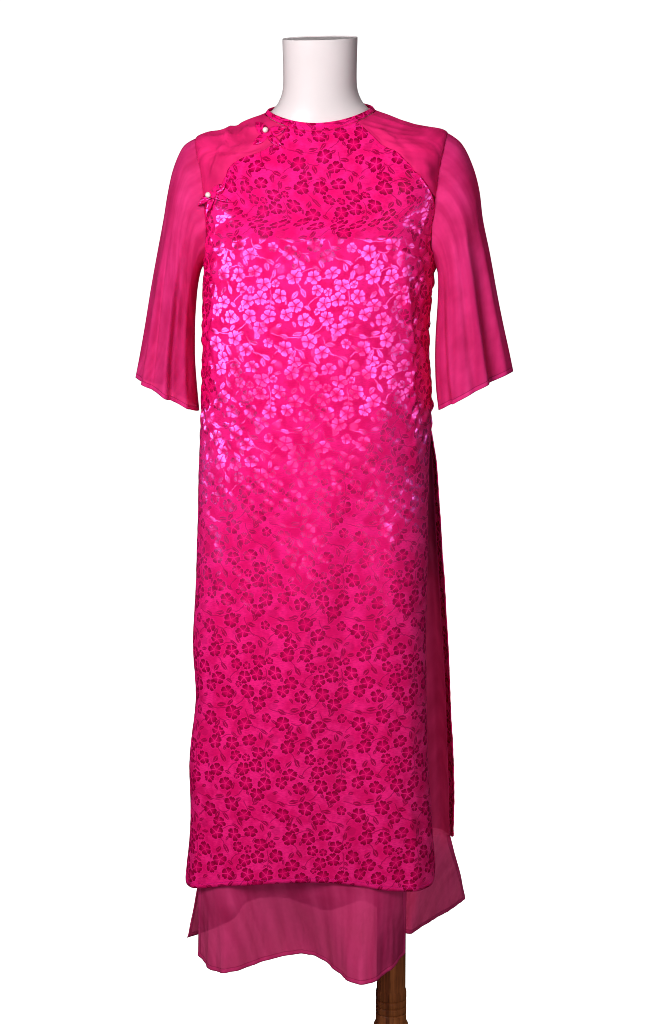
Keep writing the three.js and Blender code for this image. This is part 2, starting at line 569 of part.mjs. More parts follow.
// The limbless form: rings from the flat neck top to the flat underside, all inside the dress.
const FORM = [
  { zSide: 1624, zFront: 1624, zBack: 1624, centre: 0, half: 53.5, front: 51, back: 51 },
  { zSide: 1585, zFront: 1584, zBack: 1585, centre: 0, half: 52.5, front: 50, back: 50 },
  { zSide: 1556, zFront: 1550, zBack: 1556, centre: 0, half: 53, front: 50, back: 50 },
  { zSide: 1539, zFront: 1528, zBack: 1540, centre: 0, half: 58, front: 51, back: 51 },
  { zSide: 1527, zFront: 1512, zBack: 1530, centre: 0, half: 66.5, front: 54, back: 54 },
  { zSide: 1512, zFront: 1489, zBack: 1512, centre: 0.5, half: 84, front: 59.5, back: 61 },
  { zSide: 1498.9, zFront: 1452, zBack: 1470, centre: 1.5, half: 129, front: 72, back: 78 },
  { zSide: 1482, zFront: 1412, zBack: 1426, centre: 1.5, half: 172, front: 84, back: 93 },
  { zSide: 1466, zFront: 1394, zBack: 1408, centre: 1.5, half: 173, front: 91, back: 97 },
  { zSide: 1432, zFront: 1376, zBack: 1384, centre: 1.5, half: 170, front: 97, back: 101 },
  { zSide: 1374, zFront: 1348, zBack: 1348, centre: 1.5, half: 165, front: 106, back: 101 },
  { zSide: 1310, zFront: 1306, zBack: 1310, centre: -1, half: 158, front: 108, back: 96 },
  { zSide: 1250, zFront: 1250, zBack: 1250, centre: -4, half: 148, front: 100, back: 90 },
  { zSide: 1180, zFront: 1180, zBack: 1180, centre: -5, half: 134, front: 88, back: 84 },
  { zSide: 1105, zFront: 1105, zBack: 1105, centre: -5, half: 126, front: 82, back: 82 },
  { zSide: 1040, zFront: 1040, zBack: 1040, centre: -5, half: 133, front: 86, back: 87 },
  { zSide: 960, zFront: 960, zBack: 960, centre: -4, half: 147, front: 93, back: 97 },
  { zSide: 890, zFront: 890, zBack: 890, centre: -3, half: 151, front: 95, back: 101 },
  { zSide: 835, zFront: 835, zBack: 835, centre: -1, half: 149, front: 90, back: 97 },
  { zSide: 812, zFront: 812, zBack: 812, centre: 0, half: 141, front: 80, back: 88 },
];
const FORM_COLUMNS = 28;
const FORM_BOTTOM = FORM.at(-1).zSide;
const FORM_ROUND = 2.1;
function form() {
  return stack(FORM.map((ring) => Array.from({ length: FORM_COLUMNS }, (_, c) => {
    const a = (2 * Math.PI * c) / FORM_COLUMNS;
    const isFront = Math.cos(a) > 0;
    const x = ring.centre + ring.half * signedPower(Math.sin(a), 2 / FORM_ROUND);
    const y = -signedPower(Math.cos(a), 2 / FORM_ROUND) * (isFront ? ring.front : ring.back);
    const z = mix(ring.zSide, isFront ? ring.zFront : ring.zBack, Math.cos(a) ** 2);
    return new THREE.Vector3(x, y, z + tiltAt(x, z));
  })));
}

// Turned post below the wearer's left hip, from the base to the form, and its round base.
const POST_X = 108;
const POST_SIDES = 20;
// Turned profiles: radii at heights above the floor, from the foot up.
const BASE = [
  { radius: 163, height: 0 },
  { radius: 165, height: 2 },
  { radius: 165, height: 16 },
  { radius: 160, height: 20 },
  { radius: 150, height: 27 },
  { radius: 145, height: 28 },
];
const POST = [
  { radius: 31, height: 28.5 },
  { radius: 33, height: 36 },
  { radius: 30, height: 48 },
  { radius: 24, height: 55 },
  { radius: 21, height: 88 },
  { radius: 22, height: 126 },
  { radius: 26, height: 134 },
  { radius: 26, height: 141 },
  { radius: 23.3, height: 147 },
  { radius: 23.3, height: 157 },
  { radius: 21.1, height: 159 },
  { radius: 23.3, height: 161 },
  { radius: 23.3, height: 168 },
  { radius: 21.1, height: 170 },
  { radius: 23.3, height: 172 },
  { radius: 23.3, height: 179 },
  { radius: 21.1, height: 181 },
  { radius: 23.3, height: 183 },
  { radius: 23.3, height: 192 },
  { radius: 21.8, height: 198 },
  { radius: 21.8, height: 795.5 },
  { radius: 34, height: 801.5 },
];
const FLANGE_TOP = { radius: 34, height: FORM_BOTTOM - REST };
function turned(profile) {
  const [foot, top] = [profile[0].height, profile.at(-1).height];
  const closed = [{ radius: 0, height: foot }, ...profile, { radius: 0, height: top }];
  const points = closed.map(({ radius, height }) => new THREE.Vector2(radius, height));
  return new THREE.LatheGeometry(points, POST_SIDES).rotateX(Math.PI / 2).translate(POST_X, 0, 0);
}

const object = new THREE.Group();
object.position.copy(FRAME_SHIFT);
function add(name, geometry, material) {
  const mesh = new THREE.Mesh(geometry, material);
  mesh.name = name;
  object.add(mesh);
}

add('front_panel', panel(0), MATERIALS.brocade);
add('back_panel', panel(180), MATERIALS.brocade);
add('collar_band', collar(), MATERIALS.brocade);
add('yoke_right', yoke(-1), MATERIALS.chiffon);
add('yoke_left', yoke(1), MATERIALS.chiffon);
add('sleeve_right', sleeve(-1, SLEEVE_RIGHT, SLEEVE_FOLDS_RIGHT), MATERIALS.chiffon);
add('sleeve_left', sleeve(1, SLEEVE_LEFT, SLEEVE_FOLDS_LEFT), MATERIALS.chiffon);
add('front_underflap', underflap(0, FRONT_UNDER, FRONT_UNDER_HEM), MATERIALS.chiffon);
add('back_underflap', underflap(180, BACK_UNDER, BACK_UNDER_HEM), MATERIALS.chiffon);
for (const tie of TIES) {
  add(`bow_${tie.name}`, bow(tie), MATERIALS.brocade);
  add(`pearl_${tie.name}`, pearl(tie), MATERIALS.pearl);
}
add('dress_form', form(), MATERIALS.form);
add('stand_post', turned([...POST, FLANGE_TOP]), MATERIALS.wood);
add('stand_base', turned(BASE), MATERIALS.wood);

export default object;
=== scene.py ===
import bpy
import bmesh
import numpy as np
from math import cos, pi, radians, sin
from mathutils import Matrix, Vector


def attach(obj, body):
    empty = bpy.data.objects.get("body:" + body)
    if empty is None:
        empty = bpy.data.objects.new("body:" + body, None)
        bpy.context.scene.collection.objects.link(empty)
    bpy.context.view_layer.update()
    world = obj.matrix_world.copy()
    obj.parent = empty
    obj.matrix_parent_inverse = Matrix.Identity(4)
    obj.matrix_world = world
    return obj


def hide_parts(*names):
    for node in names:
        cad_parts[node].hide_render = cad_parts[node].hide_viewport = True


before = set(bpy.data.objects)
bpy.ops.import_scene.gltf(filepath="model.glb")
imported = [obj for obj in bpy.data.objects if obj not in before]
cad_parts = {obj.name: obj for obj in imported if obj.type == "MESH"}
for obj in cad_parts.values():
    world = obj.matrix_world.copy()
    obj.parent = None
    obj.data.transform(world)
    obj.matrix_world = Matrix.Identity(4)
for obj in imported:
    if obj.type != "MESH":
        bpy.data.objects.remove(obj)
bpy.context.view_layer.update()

# ---------------------------------------------------------------- display form
# The limbless form that wears the dress: a hollow glass-fibre shell, moulded in one and sprayed
# with white gloss lacquer. Its neck ends in a flat lid with a small rounded rim.

MM = 0.001
PLACE = np.array((-6.0, -17.0, 0.0))  # moves the shapes below, drawn about the neck, into the frame


def rows_of(names, rows):
    """A table of rows as one array for each named column."""
    return {name: np.array(column, float) for name, column in zip(names.split(), zip(*rows))}


def along(table, place):
    """Every column of a table at places between its rows, on a smooth curve through them."""
    count = len(next(iter(table.values())))
    place = np.clip(np.asarray(place, float), 0, count - 1)
    i = np.minimum(place.astype(int), count - 2)
    t = place - i
    out = {}
    for name, column in table.items():
        a, b, c, d = (column[np.clip(i + k, 0, count - 1)] for k in (-1, 0, 1, 2))
        bend, twist = 2 * a - 5 * b + 4 * c - d, 3 * b - a - 3 * c + d
        out[name] = 0.5 * (2 * b + (c - a) * t + bend * t**2 + twist * t**3)
    return out


def mix(a, b, t):
    return a + (b - a) * t


def smooth(value, start, end):
    t = np.clip((value - start) / (end - start), 0, 1)
    return t * t * (3 - 2 * t)


def lifted(x, z):
    """The form leans a little, so that heights grow toward the wearer's left shoulder."""
    return z + 0.027 * x * smooth(z, 1300, 1480)


def mesh_piece(name, bm, slot, *nodes):
    """Finishes a bmesh as a piece that rides on the frame and stands for its solids."""
    mesh = bpy.data.meshes.new(name)
    bm.to_mesh(mesh)
    bm.free()
    mesh.polygons.foreach_set("use_smooth", [True] * len(mesh.polygons))
    piece = bpy.data.objects.new(name, mesh)
    bpy.context.scene.collection.objects.link(piece)
    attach(piece, "root")
    if nodes:
        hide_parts(*nodes)
    return piece


def grid_of(columns, rows, surface, closed=False, free="", plumb=False):
    """A grid bent onto surface(across, down), both from 0 to 1. It keeps its cut lengths as a UV map
    and, as an attribute, each point's distance to the nearest free edge: sides, head or foot.
    A plumb cloth has its threads level and upright, whatever way the grid's own lines run."""
    bm = bmesh.new()
    bmesh.ops.create_grid(bm, x_segments=columns, y_segments=rows, size=0.5)
    places = surface(*np.meshgrid(np.linspace(0, 1, columns + 1), np.linspace(0, 1, rows + 1)))
    step = np.linalg.norm(np.diff(places, axis=1), axis=2)
    across = np.concatenate([np.zeros((rows + 1, 1)), np.cumsum(step, axis=1)], axis=1) * MM
    step = np.linalg.norm(np.diff(places, axis=0), axis=2)
    down = np.concatenate([np.zeros((1, columns + 1)), np.cumsum(step, axis=0)], axis=0) * MM
    near = np.full(across.shape, 1.0)
    if "sides" in free:
        near = np.minimum(near, np.minimum(across, across[:, -1:] - across))
    if "head" in free:
        near = np.minimum(near, down)
    if "foot" in free:
        near = np.minimum(near, down[-1] - down)
    if not closed:
        across = across - across[:, columns // 2][:, None]
    foot = down[-1]
    if plumb:
        step = np.linalg.norm(np.diff(places[..., :2], axis=1), axis=2) * MM
        across = np.concatenate([np.zeros((rows + 1, 1)), np.cumsum(step, axis=1)], axis=1)
        across -= across[:, columns // 2][:, None]
        z, height = places[..., 2], places[::-1, columns // 2, 2]
        down = np.interp(z, height, down[::-1, columns // 2])
        # Beyond both ends of the centre column the threads run on.
        down += MM * (np.maximum(height[0] - z, 0) - 1.2 * np.maximum(z - height[-1], 0))
        foot = np.full(columns + 1, down.max())
    cut = bm.loops.layers.uv.new("cut")
    edge = bm.verts.layers.float.new("edge")
    for v in bm.verts:
        r, c = round((0.5 - v.co.y) * rows), round((v.co.x + 0.5) * columns)
        for loop in v.link_loops:
            loop[cut].uv = (across[r, c], foot[c] - down[r, c])
        v[edge] = near[r, c]
        v.co = (places[r, c] + PLACE) * MM
    return bm


def signed_power(value, power):
    return np.sign(value) * np.abs(value) ** power


# Rings from the neck down, in mm: heights at the sides, front and back, the middle's place across,
# half the width, and how far the front and the back stand out.
FORM = rows_of("z_side z_front z_back centre half front back", [
    (1624.6, 1624.6, 1624.6, 0, 50.5, 48, 48),
    (1624.2, 1624.2, 1624.2, 0, 52.6, 50.1, 50.1),
    (1622.4, 1622.4, 1622.4, 0, 53.5, 51, 51),
    (1585, 1584, 1585, 0, 52.5, 50, 50),
    (1556, 1550, 1556, 0, 53, 50, 50),
    (1539, 1528, 1540, 0, 58, 51, 51),
    (1527, 1512, 1530, 0, 66.5, 54, 54),
    (1512, 1489, 1512, 0.5, 84, 59.5, 61),
    (1498.9, 1452, 1470, 1.5, 129, 72, 78),
    (1482, 1412, 1426, 1.5, 172, 84, 93),
    (1466, 1394, 1408, 1.5, 173, 91, 97),
    (1432, 1376, 1384, 1.5, 170, 97, 101),
    (1374, 1348, 1348, 1.5, 165, 106, 101),
    (1310, 1306, 1310, -1, 158, 108, 96),
    (1250, 1250, 1250, -4, 148, 100, 90),
    (1180, 1180, 1180, -5, 134, 88, 84),
    (1105, 1105, 1105, -5, 126, 82, 82),
    (1040, 1040, 1040, -5, 133, 86, 87),
    (960, 960, 960, -4, 147, 93, 97),
    (890, 890, 890, -3, 151, 95, 101),
    (835, 835, 835, -1, 149, 90, 97),
    (812, 812, 812, 0, 141, 80, 88),
])
FORM_ROUND = 2.1  # 2 is an oval, and more is squarer


def form_place(across, down):
    a = 2 * pi * across
    ring = along(FORM, down * (len(FORM["half"]) - 1))
    x = ring["centre"] + ring["half"] * signed_power(np.sin(a), 2 / FORM_ROUND)
    deep = np.where(np.cos(a) > 0, ring["front"], ring["back"])
    y = -signed_power(np.cos(a), 2 / FORM_ROUND) * deep
    z = mix(ring["z_side"], np.where(np.cos(a) > 0, ring["z_front"], ring["z_back"]), np.cos(a) ** 2)
    return np.stack([x, y, lifted(x, z)], axis=-1)


form_mesh = grid_of(96, 168, form_place, closed=True)
bmesh.ops.remove_doubles(form_mesh, verts=form_mesh.verts, dist=0.00001)
bmesh.ops.holes_fill(form_mesh, edges=[e for e in form_mesh.edges if e.is_boundary], sides=0)
bmesh.ops.recalc_face_normals(form_mesh, faces=form_mesh.faces)
form = mesh_piece("display_form", form_mesh, "form", "dress_form")
# The lid and the underside stay flat.
for polygon in form.data.polygons:
    polygon.use_smooth = polygon.loop_total == 4


def linear(hex_code):
    """An sRGB hex value as linear colour."""
    parts = [int(hex_code[i:i + 2], 16) / 255 for i in (0, 2, 4)]
    return tuple(c / 12.92 if c <= 0.04045 else ((c + 0.055) / 1.055) ** 2.4 for c in parts) + (1.0,)


def add(tree, kind, settings=None, **links):
    """Adds a node: settings are its own properties, links are values or outputs for its sockets."""
    node = tree.nodes.new("ShaderNode" + kind)
    for name, value in (settings or {}).items():
        setattr(node, name, value)
    for name, value in links.items():
        key = int(name[1:]) if name[0] == "_" and name[1:].isdigit() else name.replace("_", " ")
        socket = node.inputs[key]
        if isinstance(value, bpy.types.NodeSocket):
            tree.links.new(value, socket)
        else:
            socket.default_value = value
    return node


def new_material(name):
    material = bpy.data.materials.new(name)
    material.use_nodes = True
    material.node_tree.nodes.clear()
    return material, material.node_tree


# These add a node to the tree that their first socket belongs to.
def noise(vector, scale, detail, **more):
    return add(vector.id_data, "TexNoise", Vector=vector, Scale=scale, Detail=detail, **more).outputs[0]


def blend(factor, a, b):
    return add(factor.id_data, "Mix", {"data_type": "RGBA"}, _0=factor, _6=a, _7=b).outputs[2]


def bump(height, strength, depth):
    return add(height.id_data, "Bump", Strength=strength, Distance=depth, Height=height).outputs[0]


def show(shader):
    add(shader.id_data, "OutputMaterial", Surface=shader.outputs[0])


# Sprayed white lacquer over glass fibre: an even gloss with a faint orange peel and warm grey dust.
lacquer, tree = new_material("white_gloss_lacquer")
spot = add(tree, "TexCoord").outputs["Object"]
dust = noise(spot, 9.0, 4.0)
peel = noise(spot, 420.0, 1.0)
dusty = add(tree, "MapRange", _0=dust, _1=0.35, _2=0.75).outputs[0]
tone = blend(dusty, linear("EAE0E2"), linear("DFD5D7"))
gloss = add(tree, "MapRange", _0=dust, _1=0.3, _2=0.7, _3=0.3, _4=0.42).outputs[0]
show(add(tree, "BsdfPrincipled", Base_Color=tone, Roughness=gloss, IOR=1.5, Normal=bump(peel, 0.08, 0.0004)))
form.data.materials.append(lacquer)

# ---------------------------------------------------------------- brocade front and back
# The body of the dress: satin-ground silk brocade in hot pink with woven flowers, cut as a front
# and a back. Both are cut in to the yokes above, seamed at the sides to the hip, and hang below
# as two open flaps with a narrow stitched hem.

# Rings of the body as on the form, and how square each is.
BODY = rows_of("z_side z_front z_back centre half front back round", [
    (1521, 1500, 1523, 0.5, 79, 66, 64, 2.0),
    (1499.5, 1460, 1480, 1.5, 130, 79, 84, 2.1),
    (1487, 1420, 1436, 2, 181, 92, 100, 2.3),
    (1440, 1386, 1394, 3, 179, 103, 107, 2.4),
    (1378, 1358, 1356, 2, 173, 112, 107, 2.4),
    (1310, 1316, 1310, 0, 168, 115, 103, 2.3),
    (1250, 1252, 1250, -5, 166, 115, 100, 2.3),
    (1180, 1181, 1180, -6.5, 165, 114, 99, 2.3),
    (1110, 1110, 1110, -5, 168, 113, 101, 2.3),
    (1062, 1062, 1062, -6, 169, 113, 103, 2.3),
])
# Below the upper ends of the slits: heights at the edges and the middle, the places across of both
# edges, and how far the edges and the middle hang forward or back.
FRONT_FLAP = rows_of("z_edge z_mid left right edge mid", [
    (1000, 1000, -177, 160, -8, -114),
    (925, 925, -178.5, 160, -20, -116),
    (840, 840, -180, 159.5, -32, -119),
    (750, 750, -184, 159.5, -41, -122),
    (660, 660, -181, 161, -47, -125),
    (570, 570, -190.5, 164, -52, -128),
    (480, 484, -188.5, 170, -57, -131),
    (392, 404, -196, 176, -62, -133),
])
BACK_FLAP = rows_of("z_edge z_mid left right edge mid", [
    (1000, 1000, -175, 171, 10, 105),
    (925, 925, -177, 177, 24, 112),
    (840, 840, -179, 182, 37, 121),
    (750, 750, -181, 187, 48, 131),
    (660, 660, -184, 192, 58, 141),
    (570, 570, -187, 195, 68, 149),
    (480, 480, -190, 198, 80, 156),
    (408, 400, -192, 199, 92, 160),
])
SLIT_LEVEL = 9
HEM_LEVEL = 17
# Angle round the dress, depth and width in degrees of the long folds below the slits.
FLAP_FOLDS = [
    (-66, 5, 8), (-38, -3, 9), (24, -3, 12), (58, 5, 8), (118, 7, 9), (150, -6, 11), (188, 8, 10),
    (226, -7, 11), (250, 6, 8),
]


def dress_half(z_mid, deep, sign, flap):
    """The rings of one half of the dress from the collar to the hem."""
    return {
        "z_edge": np.append(BODY["z_side"], flap["z_edge"]),
        "z_mid": np.append(BODY[z_mid], flap["z_mid"]),
        "centre": np.append(BODY["centre"], (flap["left"] + flap["right"]) / 2),
        "half": np.append(BODY["half"], (flap["right"] - flap["left"]) / 2),
        "edge": np.append(0 * BODY["half"], flap["edge"]),
        "mid": np.append(sign * BODY[deep], flap["mid"]),
        "round": np.append(BODY["round"], 0 * flap["mid"] + 2.3),
    }


FRONT_ROWS = dress_half("z_front", "front", -1, FRONT_FLAP)
BACK_ROWS = dress_half("z_back", "back", 1, BACK_FLAP)


def dress_place(level, angle):
    """The outer face of the dress: angle 0 is the front centre, 180 the back and 90 the wearer's left."""
    a = np.radians(angle)
    front = np.cos(a) > 0
    f, b = along(FRONT_ROWS, level), along(BACK_ROWS, level)
    ring = {name: np.where(front, f[name], b[name]) for name in f}
    power = 2 / ring["round"]
    x = ring["centre"] + ring["half"] * signed_power(np.sin(a), power)
    y = mix(ring["edge"], ring["mid"], np.abs(np.cos(a)) ** power)
    z = mix(ring["z_edge"], ring["z_mid"], np.cos(a) ** 2)
    for fold, depth, width in FLAP_FOLDS:
        away = (angle - fold + 180) % 360 - 180
        bulge = depth * np.exp(-((away / width) ** 2)) * smooth(level, SLIT_LEVEL, HEM_LEVEL)
        y = y + np.where(front, -1, 1) * bulge
    return np.stack([x, y, lifted(x, z)], axis=-1)


def outward(surface, u, v, du, dv):
    """The unit normal of surface(u, v), where v runs down and u toward the wearer's left at the front."""
    normal = np.cross(surface(u, v + dv) - surface(u, v - dv), surface(u + du, v) - surface(u - du, v))
    return normal / np.linalg.norm(normal, axis=-1, keepdims=True)


def on_dress(level, angle, out=0.0):
    normal = outward(lambda u, v: dress_place(v, u), angle, level, 0.5, 0.02)
    return dress_place(level, angle) + normal * np.asarray(out)[..., None]


def ripples(x, z, seed, wide, tall, count=6):
    """A smooth uneven field from -1 to 1, with waves about wide mm across and tall mm high."""
    rng = np.random.default_rng(seed)
    total = 0
    for _ in range(count):
        kx, kz = rng.uniform(0.6, 1.5) / wide * rng.choice((-1, 1)), rng.uniform(0.5, 1.5) / tall
        total = total + np.sin(2 * pi * (kx * x + kz * z) + rng.uniform(0, 2 * pi))
    return total / count ** 0.5 / 1.6


def creases(lines, x, z):
    """Creases seen from the front: each runs from x0, z0 to x1, z1 with a depth, fading at its ends."""
    total = 0 * x
    for x0, z0, x1, z1, depth, width in lines:
        dx, dz = x1 - x0, z1 - z0
        t = ((x - x0) * dx + (z - z0) * dz) / (dx * dx + dz * dz)
        away = np.abs((x - x0) * dz - (z - z0) * dx) / (dx * dx + dz * dz) ** 0.5
        ends = smooth(t, -0.12, 0.18) * (1 - smooth(t, 0.8, 1.15))
        total += depth * np.exp(-((away / width) ** 1.5)) * ends
    return total


# The side edges of the front and back, along the yokes and then down the sides: the angle from the
# centre on the wearer's right and left, for each level.
YOKE_LINE = rows_of("level right left", [
    (0, 32, 44), (0.5, 30, 44.5), (1, 35.5, 43), (1.4, 40.5, 44.5), (1.8, 41.5, 42.6), (2.3, 41.6, 44.6),
    (2.8, 46.5, 52.5), (3.3, 54, 61), (3.75, 69, 69), (4.2, 69.4, 69.4), (4.65, 72.5, 72.5),
    (4.95, 79, 79), (5.15, 90, 90), (17, 90, 90),
])


def level_at(down):
    """The level at a share of the length from collar to hem, so that rows lie evenly."""
    levels = np.linspace(0, HEM_LEVEL, 200)
    line = dress_place(levels, 0 * levels)
    length = np.append(0, np.cumsum(np.linalg.norm(np.diff(line, axis=0), axis=1)))
    return np.interp(down, length / length[-1], levels)


def thicken(piece, thick):
    wall = piece.modifiers.new("cloth", "SOLIDIFY")
    wall.thickness = thick
    wall.offset = -1


def cloth_piece(name, columns, rows, surface, slot, nodes, thick, closed=False, free="", plumb=False):
    """A sheet of cloth on surface(across, down) with a thin wall inside it."""
    bm = grid_of(columns, rows, surface, closed, free, plumb)
    if closed:
        bmesh.ops.remove_doubles(bm, verts=bm.verts, dist=0.00001)
    piece = mesh_piece(name, bm, slot, *nodes)
    thicken(piece, thick)
    return piece


# x0, z0, x1, z1, depth and width: the break over the bust, the two darts, the vertical edges where
# the body turns to its sides, and the soft valleys and drags of the hanging flap.
FRONT_CREASES = [
    (-148, 1322, -100, 1352, 3.0, 8), (-112, 1352, 8, 1356, 1.2, 6), (0, 1355, 118, 1354, 1.2, 6),
    (108, 1355, 166, 1302, 3.2, 9), (-166, 1352, -120, 1376, -3.0, 11), (130, 1374, 172, 1336, -3.4, 11),
    (-160, 1310, -116, 1341, -2.6, 4), (116, 1348, 165, 1313, -3.0, 4.5),
    (-146, 1335, -149, 1190, 2.6, 6), (-150, 1230, -156, 1060, 2.0, 7), (124, 1340, 132, 1240, 3.2, 7),
    (131, 1270, 139, 1130, 2.6, 7), (138, 1160, 144, 1010, 2.2, 8), (-88, 960, -94, 470, -4.0, 20),
    (50, 1000, 46, 520, -4.5, 22), (-20, 900, -30, 430, 2.6, 24), (112, 980, 118, 430, 3.2, 20),
    (-140, 900, -150, 450, 2.6, 14), (92, 1250, 60, 1090, -1.4, 12), (-70, 1230, -40, 1100, -1.2, 14),
    (-128, 700, -168, 560, -1.6, 12), (134, 560, 160, 470, -2.4, 9),
]
BACK_CREASES = [
    (-120, 1390, -60, 1340, -2.0, 10), (118, 1388, 66, 1336, -2.2, 11), (-20, 1440, 4, 1240, -1.6, 16),
    (-96, 1290, -70, 1120, 2.0, 14), (88, 1296, 64, 1130, 1.8, 13), (-60, 1120, -30, 1050, -1.8, 10),
    (58, 1118, 26, 1052, -1.8, 10), (-110, 980, -120, 440, 4.0, 18), (-40, 1010, -52, 430, -4.0, 20),
    (26, 1000, 34, 430, 3.6, 19), (96, 990, 110, 430, -3.8, 18), (150, 900, 166, 440, 3.0, 12),
    (-150, 860, -162, 470, -2.4, 12),
]
# How far the hem runs above its even line, in mm, at places across from the wearer's right.
FRONT_HEM = rows_of("across rise", [
    (0, 0), (0.05, -9), (0.19, -10), (0.355, -3), (0.54, 4), (0.7, -6), (0.865, -4), (0.927, 0),
    (0.967, 9), (1, 24),
])
BACK_HEM = rows_of("across rise", [
    (0, 4), (0.06, -3), (0.22, 3), (0.38, -4), (0.55, 5), (0.7, -2), (0.86, 4), (0.95, -2), (1, 6),
])
PANEL_WIDE = 420


def panel_place(turn, lines, seed):
    hem = FRONT_HEM if turn == 0 else BACK_HEM

    def place(across, down):
        level = level_at(down)
        right = np.interp(level, YOKE_LINE["level"], YOKE_LINE["right"])
        left = np.interp(level, YOKE_LINE["level"], YOKE_LINE["left"])
        low, high = (-right, left) if turn == 0 else (-left, right)
        angle = np.clip(mix(low, high, across), -89.99, 89.99)
        flat = dress_place(level, turn + angle)
        x, z = flat[..., 0], flat[..., 2]
        # Between bust and hip the cloth is crinkled toward the sides.
        side = smooth(np.abs(angle), 48, 62) * smooth(level, 3.4, 4.6) * (1 - smooth(level, 8.4, 10))
        out = creases(lines, x, z)
        out += 1.0 * ripples(x, z, seed, 90, 420) * smooth(level, 4, 8)
        out += 0.5 * ripples(x, z, seed + 1, 38, 130) + 0.28 * ripples(x, z, seed + 4, 30, 26)
        out += 1.9 * side * ripples(x, z, seed + 2, 12, 34) + 0.5 * side * ripples(x, z, seed + 3, 26, 16)
        # A ridge follows the yoke seam, and a groove the side seam.
        girth = PANEL_WIDE * np.minimum(across, 1 - across)
        out += 0.7 * np.exp(-(((girth - 2.5) / 2.0) ** 2)) * (1 - smooth(level, 5, 6))
        out -= 0.9 * np.exp(-((girth / 1.5) ** 2)) * smooth(level, 5, 5.4) * (1 - smooth(level, 8.7, 9))
        point = on_dress(level, turn + angle, out)
        rise = along(hem, np.interp(across, hem["across"], np.arange(len(hem["across"]))))["rise"]
        point[..., 2] += rise * smooth(down, 0.85, 1)
        return point
    return place


BROCADE_THICK = 0.0011
front = cloth_piece("brocade_front", 140, 270, panel_place(0, FRONT_CREASES, 3), "brocade", ["front_panel"],
                    BROCADE_THICK, free="sides head foot", plumb=True)
back = cloth_piece("brocade_back", 140, 270, panel_place(180, BACK_CREASES, 11), "brocade", ["back_panel"],
                   BROCADE_THICK, free="sides head foot", plumb=True)

# One repeat of the woven pattern, 112 mm wide and 138 mm high, drawn a little larger than that. Flowers and
# leaves have a centre, a size along and across, and a turn in degrees; stems have a bend as well.
REPEAT = (122, 150)
DRAWN_LARGER = 1.09
FLOWERS = [
    (0, 0, 12.5, 12, 5), (20, -17, 12.5, 10, 20), (84, -12, 12.5, 12, 48), (57, -4, 8, 8, 10),
    (30, -43, 12.5, 9.5, 15), (99, -32, 11.5, 8.5, -20), (94, -50, 12.5, 11.5, 30),
    (2, -50, 11, 11.5, 62), (47, -63, 12.5, 10.5, -8), (42, -84, 11.5, 11.5, 24), (73, -80, 11, 12, 40),
    (9, -70, 9.5, 9, 0), (26, -72, 6.5, 6.5, 30), (21, -91, 11.5, 10.5, 50), (99, -95, 12.5, 10.5, 12),
    (85, -109, 10, 10, 66), (26, -114, 11.5, 12, -25), (57, -113, 12.5, 11, 35), (114, -117, 11.5, 11, 8),
    (44, -131, 12.5, 10.5, -15), (65, -61, 6.5, 6, 20), (11, -103, 5.5, 5, 45),
]
LEAVES = [
    (97, -20, 9, 3.6, 60), (111, -21, 9, 3.6, -58), (33, -5, 8.5, 3.8, -12), (40, 5, 7.5, 3.2, 40),
    (49, -35, 8, 4, -72), (61, -46, 8, 3.8, 80), (54, -27, 8.5, 3.2, -28), (12, -29, 8.5, 3.8, -62),
    (5, -36, 9, 2.6, -32), (73, -51, 7, 3, 12), (110, -75, 9, 3.8, -60), (97, -78, 8, 3.8, 52),
    (54, -90, 5.5, 2.2, 35), (63, -91, 5.5, 2.2, 145), (55, -98, 5, 2, 35), (63, -99, 5, 2, 145),
    (83, -143, 8.5, 3.6, -24), (103, -139, 9, 3.8, 12), (118, -134, 7.5, 3.4, 50), (38, 8, 7.5, 3.6, -78),
    (4, -120, 7, 3.2, 64), (74, -126, 6, 2.6, 30), (98, -124, 6, 2.4, 120), (66, -33, 6.5, 2.6, 35),
    (118, -98, 6.5, 2.8, -30), (12, -142, 6.5, 3, 28), (70, -10, 6, 2.6, -40), (36, -57, 5.5, 2.4, 65),
    (28, -130, 5.5, 2.4, -60), (112, -58, 5.5, 2.4, 60), (84, -90, 5, 2.2, 80),
]
STEMS = [
    (44, -26, 16, -24, 0.18), (70, -21, 9, 38, 0.2), (107, -11, 9, -6, -0.3), (114, -41, 13, 24, 0.25),
    (19, -50, 9, 14, -0.2), (104, -67, 8, -62, 0.2), (58, -87, 15, -88, 0.1), (4, -88, 11, 46, 0.22),
    (14, -128, 13, 46, -0.2), (88, -141, 27, -5, -0.12), (30, -8, 18, -60, -0.15), (60, -52, 12, 70, 0.2),
]
# Faint second growth in the ground.
SHADES = [
    (72, -38, 8, 8, 0), (8, -16, 9, 5, 60), (68, -134, 9, 7, 10),
]


def maths(operation, a, b=0.0, c=0.0):
    tree = next(value for value in (a, b, c) if isinstance(value, bpy.types.NodeSocket)).id_data
    return add(tree, "Math", {"operation": operation}, _0=a, _1=b, _2=c).outputs[0]


def times(a, b):
    return maths("MULTIPLY", a, b)


def ramp(value, start, end, low=0.0, high=1.0):
    """Goes softly from low to high as value goes from start to end."""
    return add(value.id_data, "MapRange", {"interpolation_type": "SMOOTHSTEP"}, _0=value, _1=start, _2=end,
               _3=low, _4=high).outputs[0]


def vectors(operation, a, **more):
    return add(a.id_data, "VectorMath", {"operation": operation}, _0=a, **more).outputs[0]


def stretched(vector, scale):
    return add(vector.id_data, "Mapping", Vector=vector, Scale=scale).outputs[0]


def threads(vector, way, scale, uneven):
    return add(vector.id_data, "TexWave", {"bands_direction": way}, Vector=vector, Scale=scale,
               Distortion=uneven).outputs[1]


